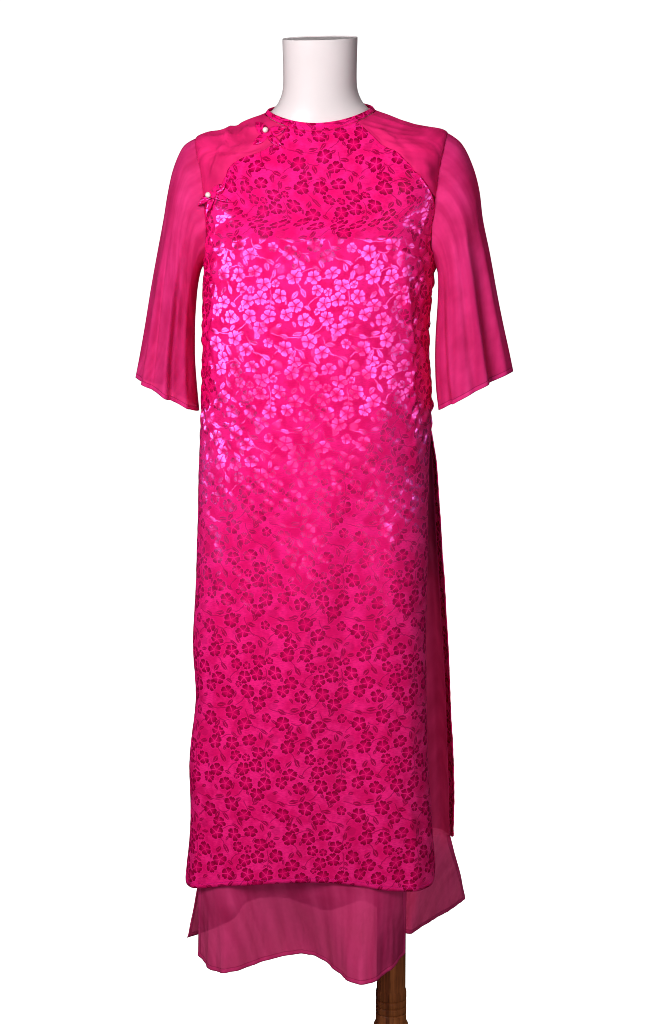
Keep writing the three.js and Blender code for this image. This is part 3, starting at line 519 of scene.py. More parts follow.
def cut_lengths(tree):
    """Lengths along the cut cloth, in mm."""
    return vectors("SCALE", add(tree, "UVMap", {"uv_map": "cut"}).outputs[0], _3=1000.0)


def motif_place(cloth, x, y, wide, high, turn):
    """Where the cloth lies in a motif's own units, in whichever repeat of it comes nearest."""
    low = (x - REPEAT[0] / 2, y - REPEAT[1] / 2, -1)
    top = (x + REPEAT[0] / 2, y + REPEAT[1] / 2, 1)
    wrapped = vectors("WRAP", cloth, _1=top, _2=low)
    return add(cloth.id_data, "Mapping", {"vector_type": "TEXTURE"}, Vector=wrapped, Location=(x, y, 0),
               Rotation=(0, 0, radians(turn)), Scale=(wide, high, 1)).outputs[0]


def nearest(cloth, chart):
    """The place in the nearest motif of a chart, in that motif's own units, and how far it is."""
    best, place = None, None
    for motif in chart:
        own = motif_place(cloth, *motif)
        far = add(cloth.id_data, "VectorMath", {"operation": "LENGTH"}, _0=own).outputs["Value"]
        if best is None:
            best, place = far, own
            continue
        closer = maths("LESS_THAN", far, best)
        place = add(cloth.id_data, "Mix", {"data_type": "VECTOR"}, _0=closer, _4=place, _5=own).outputs[1]
        best = maths("MINIMUM", far, best)
    return place, best


# Silk brocade: a satin ground with flowers in dull weft floats. The ground keeps its own hot pink,
# and the flowers look dark crimson until a light stands opposite, when their floats shine lilac.
brocade, tree = new_material("satin_brocade")
cut_mm = cut_lengths(tree)
wobble = add(tree, "TexNoise", Vector=cut_mm, Scale=0.16, Detail=1.0).outputs[1]
wobble = vectors("SUBTRACT", wobble, _1=(0.5, 0.5, 0.5))
drawn = vectors("SCALE", cut_mm, _3=DRAWN_LARGER)
drawn = vectors("MULTIPLY_ADD", wobble, _1=(3.5, 3.5, 0), _2=drawn)

# Five petals: lobe is 1 along the middle of a petal and 0 between two, and petal is 1 where one ends.
flower, flower_far = nearest(drawn, FLOWERS)
parts = add(tree, "SeparateXYZ", _0=flower).outputs
turn = maths("ARCTAN2", parts[1], parts[0])
lobe = maths("ABSOLUTE", maths("COSINE", times(turn, 2.5)))
reach = maths("MULTIPLY_ADD", maths("POWER", lobe, 0.5), 0.4, 0.64)
notch = times(maths("POWER", lobe, 50.0), 0.13)
petal = maths("DIVIDE", flower_far, maths("SUBTRACT", reach, notch))
gap = times(lobe, flower_far)
flower_mask = times(ramp(petal, 1.02, 0.95), ramp(gap, 0.13, 0.24))
rim = times(ramp(petal, 1.22, 1.1), ramp(petal, 0.98, 1.06))
heart = ramp(petal, 0.92, 0.36)
eye = times(ramp(flower_far, 0.24, 0.18), ramp(flower_far, 0.06, 0.12))

leaf = nearest(drawn, LEAVES)[0]
parts = add(tree, "SeparateXYZ", _0=leaf).outputs
blade = maths("MULTIPLY_ADD", parts[0], parts[0], maths("ABSOLUTE", parts[1]))
vein = ramp(maths("ABSOLUTE", parts[1]), 0.04, 0.2)
leaf_mask = times(ramp(blade, 1.0, 0.84), vein)

stem_near = None
for x, y, half, leaning, bend in STEMS:
    parts = add(tree, "SeparateXYZ", _0=motif_place(drawn, x, y, half, half, leaning)).outputs
    bow_line = times(maths("SUBTRACT", 1.0, times(parts[0], parts[0])), bend)
    off = times(maths("ABSOLUTE", maths("SUBTRACT", parts[1], bow_line)), half)
    off = maths("MAXIMUM", off, maths("MULTIPLY_ADD", maths("ABSOLUTE", parts[0]), 30.0, -29.0))
    stem_near = off if stem_near is None else maths("MINIMUM", stem_near, off)
stem_mask = ramp(stem_near, 0.95, 0.45)

shade_far = nearest(drawn, SHADES)[1]
shade_mask = times(ramp(shade_far, 1.0, 0.7), 0.2)

woven = maths("MAXIMUM", flower_mask, times(leaf_mask, 0.8))
woven = maths("MAXIMUM", woven, times(stem_mask, 0.62))
woven = maths("MAXIMUM", woven, shade_mask)
cloudy = noise(cut_mm, 0.035, 4.0, Roughness=0.6)
slub = noise(stretched(cut_mm, (0.16, 1.1, 1)), 1.0, 3.0)
ground = blend(ramp(cloudy, 0.38, 0.62), linear("E8226A"), linear("FF3C88"))
ground = blend(ramp(slub, 0.44, 0.66, 0.0, 0.5), ground, linear("D2145A"))
ground = blend(times(rim, 0.45), ground, linear("FF2E8C"))
petal_colour = blend(heart, linear("8E0030"), linear("D2045A"))
petal_colour = blend(times(eye, 0.8), petal_colour, linear("B0063C"))
colour = blend(woven, ground, petal_colour)
# Satin weave, drawn at 1.2 mm, about eight threads to a line, so that it shows.
twill = threads(cut_mm, "DIAGONAL", 0.26, 0.4)
# One line of stitches runs 6 mm in from the free edges, with a stitch every 3 mm.
edge = add(tree, "Attribute", {"attribute_name": "edge"}).outputs["Fac"]
parts = add(tree, "SeparateXYZ", _0=cut_mm).outputs
run = maths("ADD", parts[0], parts[1])
dash = maths("LESS_THAN", maths("FRACT", times(run, 0.34)), 0.66)
seam = times(ramp(edge, 0.0072, 0.0064), ramp(edge, 0.0052, 0.006))
stitch = times(seam, dash)
colour = blend(times(seam, 0.4), colour, linear("8A0440"))
colour = blend(times(stitch, 0.55), colour, linear("FF3C98"))
relief = maths("MULTIPLY_ADD", twill, 0.1, times(slub, 0.5))
relief = maths("SUBTRACT", relief, times(seam, 0.8))
rough = maths("MULTIPLY_ADD", woven, -0.08, maths("MULTIPLY_ADD", slub, 0.16, 0.4))
float_gloss = times(woven, maths("MULTIPLY_ADD", heart, -0.5, 1.0))
coat = maths("MULTIPLY_ADD", float_gloss, 0.48, 0.002)
show(add(tree, "BsdfPrincipled", Base_Color=colour, Roughness=rough, Specular_IOR_Level=0.01,
         Coat_Weight=coat, Coat_Roughness=0.18, Coat_IOR=1.8, Sheen_Weight=0.03, Sheen_Roughness=0.4,
         Sheen_Tint=linear("FF2A90"), Normal=bump(relief, 0.35, 0.0006)))
for piece in (front, back):
    piece.data.materials.append(brocade)

# ---------------------------------------------------------------- stand collar
# A low stand collar of the same brocade, folded double over a stiffening, with a rolled top edge.
# It is open over the wearer's right collarbone, where the first button closes it.

COLLAR_TOP = {
    "z_side": 1526.5, "z_front": 1511, "z_back": 1533, "centre": 0.5, "half": 74.5, "front": 62, "back": 60,
}
COLLAR_ENDS = (-31.7, 327.7)  # degrees, one on each side of the opening


def collar_place(across, down):
    angle = mix(*COLLAR_ENDS, across)
    a = np.radians(angle)
    front = np.cos(a) > 0
    x = COLLAR_TOP["centre"] + COLLAR_TOP["half"] * np.sin(a)
    y = -np.cos(a) * np.where(front, COLLAR_TOP["front"], COLLAR_TOP["back"])
    middle = np.where(front, COLLAR_TOP["z_front"], COLLAR_TOP["z_back"])
    z = mix(COLLAR_TOP["z_side"], middle, np.cos(a) ** 2)
    top = np.stack([x, y, lifted(x, z)], axis=-1)
    flat = mix(top, dress_place(0 * angle, angle), down[..., None])
    away = flat * (1, 1, 0)
    away /= np.linalg.norm(away, axis=-1, keepdims=True)
    swell = 0.5 * np.sin(pi * down) + 0.5 * np.exp(-((down / 0.16) ** 2)) - 0.5 * smooth(down, 0.85, 1)
    swell = swell + 0.18 * ripples(angle, 12 * down, 21, 9, 30)
    return flat + away * swell[..., None]


collar = cloth_piece("brocade_collar", 200, 14, collar_place, "brocade", ["collar_band"], 0.0016,
                     free="sides head")
collar.data.materials.append(brocade)

# ---------------------------------------------------------------- sheer yokes
# Silk chiffon over the shoulders, from the slanting brocade edges out to the armholes. The cloth is
# eased into both seams, so it stands in soft gathers that fan out from the brocade edge.

# The armhole seam from the foot of the yoke up to the shoulder.
ARMHOLE_HIGH = rows_of("level angle", [
    (3.75, 69), (3.3, 69.2), (2.9, 69.8), (2.5, 71), (2.2, 75), (2.05, 82), (2.0, 90),
])
YOKE_ROWS = 26


def armhole_at(share):
    """Level and angle of the armhole seam over the yoke, from its front foot to its back foot."""
    high = along(ARMHOLE_HIGH, (1 - np.abs(2 * share - 1)) * 6)
    return high["level"], np.where(share <= 0.5, high["angle"], 180 - high["angle"])


def yoke_line_at(row, column):
    """Level and angle of the brocade edge and the collar seam, from front foot to back foot."""
    level = YOKE_LINE["level"][:8][::-1]
    angle = YOKE_LINE[column][:8][::-1]
    levels = np.concatenate([level, np.zeros(10), level[::-1]])
    neck = mix(angle[-1], 180 - angle[-1], np.arange(1, 11) / 11)
    angles = np.concatenate([angle, neck, 180 - angle[::-1]])
    return np.interp(row, np.arange(YOKE_ROWS), levels), np.interp(row, np.arange(YOKE_ROWS), angles)


# Gathers: the row where one starts on the brocade edge, the row where it ends on the armhole, its
# height in mm, its width in rows at both ends, and how far out it reaches.
GATHERS_RIGHT = [
    (2.2, 1.6, 2.2, 0.5, 0.9, 1.0), (3.4, 3.2, -1.0, 0.4, 0.8, 1.0), (5.0, 4.6, 1.6, 0.35, 0.8, 0.8),
    (6.6, 6.4, 2.6, 0.3, 0.9, 0.95), (7.8, 8.0, -1.2, 0.35, 1.0, 0.8), (9.0, 9.8, 2.8, 0.4, 1.0, 1.0),
    (10.6, 11.0, -1.0, 0.4, 1.0, 0.9), (12.0, 12.4, 3.0, 0.5, 1.0, 1.0), (14.2, 14.0, 2.4, 0.5, 1.0, 0.9),
    (16.5, 16.4, 2.6, 0.6, 1.1, 1.0), (18.8, 18.8, 1.6, 0.4, 0.9, 0.8), (21.4, 21.6, 2.4, 0.5, 1.0, 1.0),
    (23.4, 23.6, 1.4, 0.4, 0.8, 0.8),
]
GATHERS_LEFT = [
    (1.6, 1.0, 2.0, 0.4, 0.8, 1.0), (2.8, 2.2, 2.6, 0.35, 0.8, 0.9), (3.9, 3.8, -1.2, 0.3, 0.8, 0.8),
    (4.5, 4.6, 2.2, 0.28, 0.8, 0.85), (5.2, 5.6, 2.4, 0.25, 0.8, 0.75), (5.9, 6.8, 2.2, 0.22, 0.9, 0.7),
    (6.6, 8.2, 2.6, 0.25, 1.0, 0.8), (7.6, 9.8, 2.0, 0.3, 1.0, 0.7), (9.6, 11.4, 2.4, 0.4, 1.0, 0.9),
    (12.2, 12.6, 2.8, 0.5, 1.0, 1.0), (15.0, 15.0, 2.4, 0.5, 1.0, 0.9), (17.8, 18.0, 2.2, 0.5, 1.0, 1.0),
    (20.6, 20.6, 1.8, 0.4, 0.9, 0.9), (22.8, 23.0, 2.2, 0.4, 0.8, 1.0),
]
# Folds at the front, from x0, z0 to x1, z1 with a depth and a width, as on the panels.
YOKE_CREASES = [
    (104, 1472, 160, 1466, -3.4, 3.2), (76, 1497, 98, 1477, -3.0, 2.8), (84, 1500, 112, 1484, 2.6, 3.0),
    (90, 1486, 122, 1474, 2.4, 3.0), (148, 1422, 172, 1396, 3.4, 4.2), (128, 1432, 166, 1408, -2.8, 4.0),
    (118, 1456, 160, 1440, 2.6, 8.0), (-116, 1500, -132, 1452, -3.6, 4.0),
    (-100, 1504, -112, 1466, 3.4, 4.2), (-126, 1498, -150, 1440, 3.2, 4.5),
    (-140, 1486, -162, 1424, -2.6, 5.0), (-108, 1486, -118, 1450, -2.6, 3.4),
]


def yoke_place(side, gathers, seed):
    column = "right" if side < 0 else "left"

    def place(across, down):
        row = (YOKE_ROWS - 1) * (1 - down)
        out_share = across if side > 0 else 1 - across
        reach = mix(-0.03, 1.0, out_share)
        line_level, line_angle = yoke_line_at(row, column)
        seam_level, seam_angle = armhole_at((row + 1) / (YOKE_ROWS + 1))
        level = np.maximum(mix(line_level, seam_level, reach), 0)
        angle = side * mix(line_angle, seam_angle, reach)
        lift = 0
        for start, end, height, narrow, wide, far in gathers:
            middle, width = mix(start, end, out_share), mix(narrow, wide, out_share)
            body = np.clip(np.sin(pi * np.clip(out_share / far, 0, 1) ** 0.8), 0, 1) ** 0.9
            lift = lift + height * body * np.exp(-((np.abs(row - middle) / width) ** 1.6))
        puckers = 0.5 * np.sin(2 * pi * row * 2.3 + 2 * np.sin(row * 1.7)) * (smooth(out_share, 0.8, 0.97))
        x, y, z = np.moveaxis(dress_place(level, angle), -1, 0)
        lift = lift + 0.45 * ripples(x + 0.5 * y, z + y, seed, 34, 60)
        lift = lift + np.where(np.abs(angle) < 100, 1.3 * creases(YOKE_CREASES, x, z), 0)
        tuck = -1.3 * (1 - smooth(out_share, 0.0, 0.07)) - 0.5 * smooth(out_share, 0.96, 1.0)
        lift = np.maximum(lift, -0.6) * np.sin(pi * np.clip(out_share, 0, 1)) ** 0.4
        return on_dress(level, angle, lift + puckers + tuck)
    return place


CHIFFON_THICK = 0.0005
yokes = [
    cloth_piece("chiffon_yoke_right", 44, 150, yoke_place(-1, GATHERS_RIGHT, 31), "chiffon", ["yoke_right"],
                CHIFFON_THICK),
    cloth_piece("chiffon_yoke_left", 44, 150, yoke_place(1, GATHERS_LEFT, 37), "chiffon", ["yoke_left"],
                CHIFFON_THICK),
]

# Silk chiffon: a sheer plain weave of hard-twisted yarn, matt and slightly grainy. A single layer
# lets raspberry light through, two layers close up, and the rolled hem is dark where it is fourfold.


def chiffon_of(name, lit, deep, through, cover):
    """Chiffon in a lit and a deep colour. Where it isn't closed it tints what shows through it."""
    material, tree = new_material(name)
    cut_mm = cut_lengths(tree)
    edge = add(tree, "Attribute", {"attribute_name": "edge"}).outputs["Fac"]
    hem = ramp(edge, 0.0068, 0.0058)
    cloudy = noise(cut_mm, 0.02, 3.0)
    streak_and_painted_sheen = noise(stretched(cut_mm, (0.05, 0.0025, 1)), 1.0, 2.0, Roughness=0.45)
    # Threads lie 0.15 mm apart and are drawn 1.1 mm apart, as coarse as it takes to show.
    weave = times(threads(cut_mm, "X", 0.29, 0.7), threads(cut_mm, "Y", 0.29, 0.7))
    # Long streaks mix the deep and the lit colour: painted sheen and shade in bands down the cloth.
    colour = blend(ramp(streak_and_painted_sheen, 0.3, 0.7, 0.35, 1.0), linear(deep), linear(lit))
    colour = blend(ramp(cloudy, 0.35, 0.7, 0.0, 0.25), colour, linear(deep))
    colour = blend(times(weave, 0.12), colour, linear(deep))
    line = times(ramp(edge, 0.0072, 0.0066), ramp(edge, 0.0052, 0.006))
    colour = blend(times(hem, 0.35), colour, linear(deep))
    colour = blend(times(line, 0.5), colour, linear("7E0634"))
    relief = maths("MULTIPLY_ADD", weave, 0.35, times(streak_and_painted_sheen, 0.7))
    relief = maths("SUBTRACT", relief, times(line, 0.8))
    body = add(tree, "BsdfPrincipled", Base_Color=colour, Roughness=maths("MULTIPLY_ADD", streak_and_painted_sheen, 0.2, 0.5),
               Specular_IOR_Level=0.12, Sheen_Weight=0.12, Sheen_Roughness=0.35,
               Sheen_Tint=linear("FF2E7C"), Normal=bump(relief, 0.3, 0.0005))
    air = add(tree, "BsdfTransparent", Color=linear(through))
    closed = maths("MULTIPLY_ADD", weave, 0.06, cover)
    closed = maths("MULTIPLY_ADD", maths("SUBTRACT", 0.9, closed), hem, closed)
    closed = maths("MULTIPLY_ADD", maths("SUBTRACT", cloudy, 0.5), -0.55, closed)
    show(add(tree, "MixShader", _0=closed, _1=air.outputs[0], _2=body.outputs[0]))
    return material


yoke_chiffon = chiffon_of("yoke_chiffon", "F8287A", "C81658", "E03468", 0.86)
for piece in yokes:
    piece.data.materials.append(yoke_chiffon)

# ---------------------------------------------------------------- bell sleeves
# Elbow-length bells of the same chiffon, eased into the armhole. They hang open in a few soft
# folds, over nothing but air, and end in a rolled hem 6 mm wide.

# Rings from the armhole to the cuff, in mm: the outermost and the innermost point, how far the front
# and the back stand out, and how far the ring tips.
SLEEVE_RIGHT = rows_of("outer_x outer_z inner_x inner_z front back rise", [
    (179, 1482, 168, 1303, 47, 47, 0), (197, 1470, 173, 1292, 52, 52, 0),
    (211, 1440, 177, 1276, 56, 56, 0), (219.5, 1405, 180, 1257, 59, 60, 0),
    (226, 1366, 182, 1236, 62, 64, 1), (235, 1315, 183.5, 1212, 65, 68, 2),
    (243, 1265, 184, 1186, 69, 72, 3), (251, 1212, 184, 1158, 73, 76, 5),
    (259, 1168, 182, 1124, 77, 80, 8), (266.5, 1131, 178.5, 1084, 81, 84, 11),
])
SLEEVE_LEFT = rows_of("outer_x outer_z inner_x inner_z front back rise", [
    (183, 1492, 168, 1303, 47, 47, 0), (203, 1477, 171, 1292, 52, 52, 0),
    (218.5, 1447, 171.5, 1276, 56, 56, 0), (229, 1411, 171, 1257, 59, 60, 0),
    (235, 1368, 170, 1236, 62, 64, 1), (245, 1322, 168.5, 1212, 65, 68, 2),
    (254, 1274, 167.5, 1186, 69, 72, 3), (264, 1222, 167.5, 1158, 73, 76, 5),
    (272, 1182, 169, 1124, 77, 80, 8), (278.5, 1148, 173, 1090, 81, 84, 11),
])
# Folds: the turn from the armpit, 0.25 at the front and 0.5 outermost, depth, width, and the share
# of the length from which the fold opens.
SLEEVE_FOLDS_RIGHT = [
    (0.17, -7, 0.035, 0.1), (0.3, -8, 0.04, 0.1), (0.42, -7, 0.03, 0.1), (0.6, -9, 0.04, 0.1),
    (0.76, -10, 0.05, 0.1), (0.235, 4.0, 0.018, 0.0), (0.36, 4.5, 0.02, 0.1), (0.12, 3.4, 0.018, 0.05),
    (0.48, 3.4, 0.018, 0.2), (0.2, -3.2, 0.014, 0.3), (0.325, -3.0, 0.012, 0.2), (0.68, 2.5, 0.02, 0.1),
    (0.86, -3.0, 0.02, 0.1),
]
SLEEVE_FOLDS_LEFT = [
    (0.2, 5, 0.06, 0.1), (0.36, -19, 0.036, 0.1), (0.45, 6, 0.03, 0.1), (0.58, -10, 0.04, 0.1),
    (0.78, -9, 0.05, 0.1), (0.13, -4.5, 0.022, 0.0), (0.26, -4.0, 0.018, 0.1), (0.315, 4.2, 0.018, 0.0),
    (0.41, 3.0, 0.014, 0.1), (0.68, 3.0, 0.02, 0.1), (0.88, -3.0, 0.02, 0.1), (0.51, -2.0, 0.014, 0.2),
    (0.17, 3.2, 0.014, 0.2),
]
NARROW_FOLD = 0.025


def armhole_loop(side):
    """The armhole as turns round it with their points, from the armpit over the front."""
    low_level, low_angle = [5.15, 4.95, 4.65, 4.2, 3.75], [90, 79, 72.5, 69.4, 69]
    level, angle = armhole_at(np.arange(1, YOKE_ROWS + 1) / (YOKE_ROWS + 1))
    levels = np.concatenate([low_level, level, low_level[:0:-1]])
    angles = np.concatenate([low_angle, angle, 180 - np.array(low_angle[:0:-1])])
    points = dress_place(levels, side * angles)
    points = np.concatenate([points, points[:1]])
    walked = np.append(0, np.cumsum(np.linalg.norm(np.diff(points, axis=0), axis=1)))
    return walked / walked[-1], points


def sleeve_ring(table, side, row, turn, fold=0.0):
    ring = along(table, row)
    phase = 2 * pi * turn
    half = np.stack([ring["outer_x"] - ring["inner_x"], ring["outer_z"] - ring["inner_z"]], axis=-1) / 2
    length = np.linalg.norm(half, axis=-1)
    middle = np.stack([ring["outer_x"] + ring["inner_x"], ring["outer_z"] + ring["inner_z"]], axis=-1) / 2
    spot = middle - half / length[..., None] * ((length + fold) * np.cos(phase))[..., None]
    deep = -np.sin(phase) * np.where(np.sin(phase) > 0, ring["front"] + fold, ring["back"] + fold)
    return np.stack([side * spot[..., 0], deep, spot[..., 1] + ring["rise"] * np.sin(phase)], axis=-1)


def sleeve_place(table, side, folds, seed):
    turns, seam = armhole_loop(side)

    def place(across, down):
        turn = across if side > 0 else 1 - across
        row = 9 * down
        opening = smooth(row, 1, 9) * down
        fold = 0
        for middle, depth, width, start in folds:
            away = (turn - middle + 0.5) % 1 - 0.5
            # Narrow folds open from their own start, and wide ones over the whole sleeve.
            grown = 1.2 * smooth(down, start, 0.8) if width < NARROW_FOLD else opening
            fold = fold + depth * np.exp(-((away / width) ** 2)) * grown
        own = np.stack([np.interp(turn, turns, seam[:, k]) for k in range(3)], axis=-1)
        own = own - sleeve_ring(table, side, 0 * row, turn)
        fade = np.interp(row, [0, 1, 2, 3, 4, 5], [1, 0.62, 0.34, 0.14, 0.04, 0])
        puckers = 0.5 * np.sin(2 * pi * turn * 46 + 3 * np.sin(9 * turn))
        fold = fold + puckers * np.exp(-((down / 0.05) ** 2))
        fold = fold + 0.8 * np.sin(pi * np.clip(down, 0, 1)) * ripples(400 * turn, 400 * down, seed, 60, 260)
        point = sleeve_ring(table, side, row, turn, fold) + own * fade[..., None]
        point[..., 0] -= side * 0.9 * (1 - smooth(row, 0, 0.3))
        return point
    return place


sleeves = [
    cloth_piece("bell_sleeve_right", 150, 96, sleeve_place(SLEEVE_RIGHT, -1, SLEEVE_FOLDS_RIGHT, 41),
                "chiffon", ["sleeve_right"], CHIFFON_THICK, closed=True, free="foot"),
    cloth_piece("bell_sleeve_left", 150, 96, sleeve_place(SLEEVE_LEFT, 1, SLEEVE_FOLDS_LEFT, 43),
                "chiffon", ["sleeve_left"], CHIFFON_THICK, closed=True, free="foot"),
]
sleeve_chiffon = chiffon_of("sleeve_chiffon", "FF4298", "D01E6C", "F27CA6", 0.60)
for piece in sleeves:
    piece.data.materials.append(sleeve_chiffon)

# ---------------------------------------------------------------- chiffon underflaps
# A front and a back length of the same chiffon, sewn in at the waist inside the brocade. They show
# below its hem and at the slits, and hang in a few deep waves with a rolled hem.

HEM_SHARE = 0.76  # of the length, down to the brocade's hem
# Half the width in degrees at the top and at that hem, on one side and then the other.
FRONT_UNDER = (80, 63, 80, 50)
BACK_UNDER = (80, 76, 80, 86)
FRONT_UNDER_HEM = rows_of("x y z", [
    (-177, -70, 268), (-154, -104, 258), (-122, -122, 262), (-72, -86, 269), (-24, -66, 273),
    (10, -80, 270), (54, -136, 258), (84, -140, 257), (112, -102, 265), (132, -58, 276),
])
BACK_UNDER_HEM = rows_of("x y z", [
    (-203, 6, 266), (-170, 58, 263), (-142, 110, 263), (-126, 176, 268), (-78, 192, 270), (-34, 172, 266),
    (-4, 150, 265), (24, 168, 266), (52, 186, 270), (86, 150, 266), (112, 84, 264), (134, 56, 264),
    (160, 104, 266), (190, 156, 268), (214, 196, 274),
])


def underflap_place(turn, sides, hem, seed):
    def bare(across, down):
        share = across if turn == 0 else 1 - across
        upper = np.minimum(down / HEM_SHARE, 1)
        narrow = smooth(upper, 0.1, 1)
        angle = mix(-mix(sides[0], sides[1], narrow), mix(sides[2], sides[3], narrow), share)
        gap = mix(1.1, 6, smooth(upper, 0.02, 0.3))
        level = mix(SLIT_LEVEL, HEM_LEVEL, upper)
        above = on_dress(level, angle if turn == 0 else 180 - angle, -1.6 - gap)
        foot = along(hem, share * (len(hem["x"]) - 1))
        drop = np.clip((down - HEM_SHARE) / (1 - HEM_SHARE), 0, 1.2)
        spread = np.where(drop > 0, smooth(drop, -0.35, 1.1), 0)
        return np.stack([mix(above[..., 0], foot["x"], drop), mix(above[..., 1], foot["y"], spread),
                         mix(above[..., 2], foot["z"], drop)], axis=-1)

    def place(across, down):
        down = np.interp(down, [0, 0.4, 1], [0, 0.68, 1])
        point = bare(across, down)
        normal = outward(bare, across, down, 0.004, 0.004)
        x, z = point[..., 0], point[..., 2]
        low = smooth(down, HEM_SHARE - 0.1, 1)
        out = 1.5 * low * ripples(x, z, seed, 30, 300) + 0.5 * low * ripples(x, z, seed + 1, 9, 160)
        curl = 0.8 * np.exp(-(((1 - down) / 0.006) ** 2))
        return point + normal * (out + curl)[..., None]
    return place


underflaps = [
    cloth_piece("underflap_front", 150, 120, underflap_place(0, FRONT_UNDER, FRONT_UNDER_HEM, 51), "chiffon",
                ["front_underflap"], CHIFFON_THICK, free="sides foot"),
    cloth_piece("underflap_back", 190, 120, underflap_place(180, BACK_UNDER, BACK_UNDER_HEM, 57), "chiffon",
                ["back_underflap"], CHIFFON_THICK, free="sides foot"),
]
# The underflaps' chiffon is coloured darker than the sleeves', and tints what shows through it darker:
# painted shade for the dimmer light low in the skirt.
shaded_flap_chiffon = chiffon_of("shaded_flap_chiffon", "DA427E", "AE1C56", "D0809E", 0.58)
for piece, wide in zip(underflaps, (0.36, 0.50)):
    piece.data.materials.append(shaded_flap_chiffon)

# ---------------------------------------------------------------- bow ties and pearls
# Two closures, each a narrow folded strip of the brocade knotted into leaf-shaped ends and sewn on,
# with a pearl button 8 mm across on the knot.

# Level and angle of each knot, and for each of its ends how far the tip lies across and up from the
# knot in mm, half the width, and how far the tip stands off.
TIES = {
    "upper": (0.5, -43.8, [(29, 8, 6.2, 1.2), (-26, 14, 6.0, 1.2),
                           (-20, -17, 4.4, 0.8), (18, -19, 4.6, 0.8)]),
    "lower": (3.22, -54.3, [(25, -7, 4.6, 1.2), (17, 20, 5.4, 1.2),
                            (-21, -12, 4.4, 8.0), (-9, -26, 4.4, 2.6)]),
}


def tie_place(level, angle, x, z, out):
    """A place on the dress x mm toward the wearer's left and z mm up from a tie, raised by out."""
    here = dress_place(np.array(level), np.array(angle))
    by_angle = dress_place(np.array(level), np.array(angle + 1.0)) - here
    by_level = (dress_place(np.array(level + 0.05), np.array(angle)) - here) / 0.05
    area = by_angle[0] * by_level[2] - by_angle[2] * by_level[0]
    turned = angle + (x * by_level[2] - z * by_level[0]) / area
    lower = level + (z * by_angle[0] - x * by_angle[2]) / area
    return on_dress(np.maximum(lower, 0), turned, out)


def leaf_end(level, angle, end):
    """One folded end: it leaves the knot narrow, swells like a leaf and closes to a point."""
    tip_x, tip_z, half, rise = end
    length = (tip_x**2 + tip_z**2) ** 0.5

    def place(across, down):
        side = 2 * across - 1
        t = mix(0.1, 1.0, down)
        swell = np.sin(pi * np.clip(t, 0, 1) ** 0.8) ** 0.75 + 0.28 * (1 - t)
        x = tip_x * t - side * half * swell * tip_z / length
        z = tip_z * t + side * half * swell * tip_x / length
        hump = 2.4 * np.sin(pi * np.clip(t, 0, 1)) ** 0.7 * (1 - side**2) ** 0.6
        fold = -1.5 * np.exp(-((side / 0.16) ** 2)) * np.sin(pi * t)
        fold = fold + 0.9 * np.exp(-(((side - 0.55) / 0.2) ** 2)) * t
        return tie_place(level, angle, x, z, 1.3 + rise * t + hump + fold)
    return place


# Moulded bead under pearl essence lacquer: creamy white, a soft deep gloss with a pink cast.
pearl, tree = new_material("pearl_lacquer")
cast = noise(add(tree, "TexCoord").outputs["Object"], 260.0, 2.0)
tone = blend(ramp(cast, 0.35, 0.65), linear("FBF1EC"), linear("F2D9DC"))
show(add(tree, "BsdfPrincipled", Base_Color=tone, Roughness=maths("MULTIPLY_ADD", cast, 0.1, 0.2),
         Coat_Weight=0.6, Coat_Roughness=0.08, Normal=bump(cast, 0.05, 0.0002)))

PEARL_RADIUS = 0.004
PEARL_OUT = 10.54  # from the dress to the pearl's centre, in mm
buttons, ties = [], []
for tie, (level, angle, ends) in TIES.items():
    whole = bmesh.new()
    whole.loops.layers.uv.new("cut")
    edge_layer = whole.verts.layers.float.new("edge")
    for end in ends:
        leaf_bm = grid_of(12, 18, leaf_end(level, angle, end))
        temp = bpy.data.meshes.new("leaf")
        leaf_bm.to_mesh(temp)
        leaf_bm.free()
        whole.from_mesh(temp)
        bpy.data.meshes.remove(temp)
    for v in bmesh.ops.create_uvsphere(whole, u_segments=28, v_segments=16, radius=1.0)["verts"]:
        x, y, z = v.co
        groove = 1 - 0.12 * abs(sin(3.0 * (x + 0.4 * z)))
        knot = (6.6 * x * groove, 5.4 * z * groove, 3.4 - 2.8 * y * groove)
        v.co = (tie_place(level, angle, *map(np.array, knot)) + PLACE) * MM
        v[edge_layer] = 0.05
    piece = mesh_piece(f"knotted_tie_{tie}", whole, "brocade", f"bow_{tie}")
    thicken(piece, 0.0007)
    piece.data.materials.append(brocade)
    ties.append(piece)

    bead = bmesh.new()
    centre = (tie_place(level, angle, np.array(0.0), np.array(0.0), np.array(PEARL_OUT)) + PLACE) * MM
    for v in bmesh.ops.create_uvsphere(bead, u_segments=40, v_segments=24, radius=PEARL_RADIUS)["verts"]:
        # The bead is a little flat where it was drilled.
        if abs(v.co.z) > 0.985 * PEARL_RADIUS:
            v.co.z *= 0.96
        v.co += Vector(centre)
    buttons.append(mesh_piece(f"pearl_button_{tie}", bead, "pearl", f"pearl_{tie}"))
    buttons[-1].data.materials.append(pearl)

# ---------------------------------------------------------------- turned post and base
# A hardwood post turned on a lathe, with three scratched grooves over its foot bead, screwed into a
# round base and into the form's underside. Both are stained dark walnut and varnished.

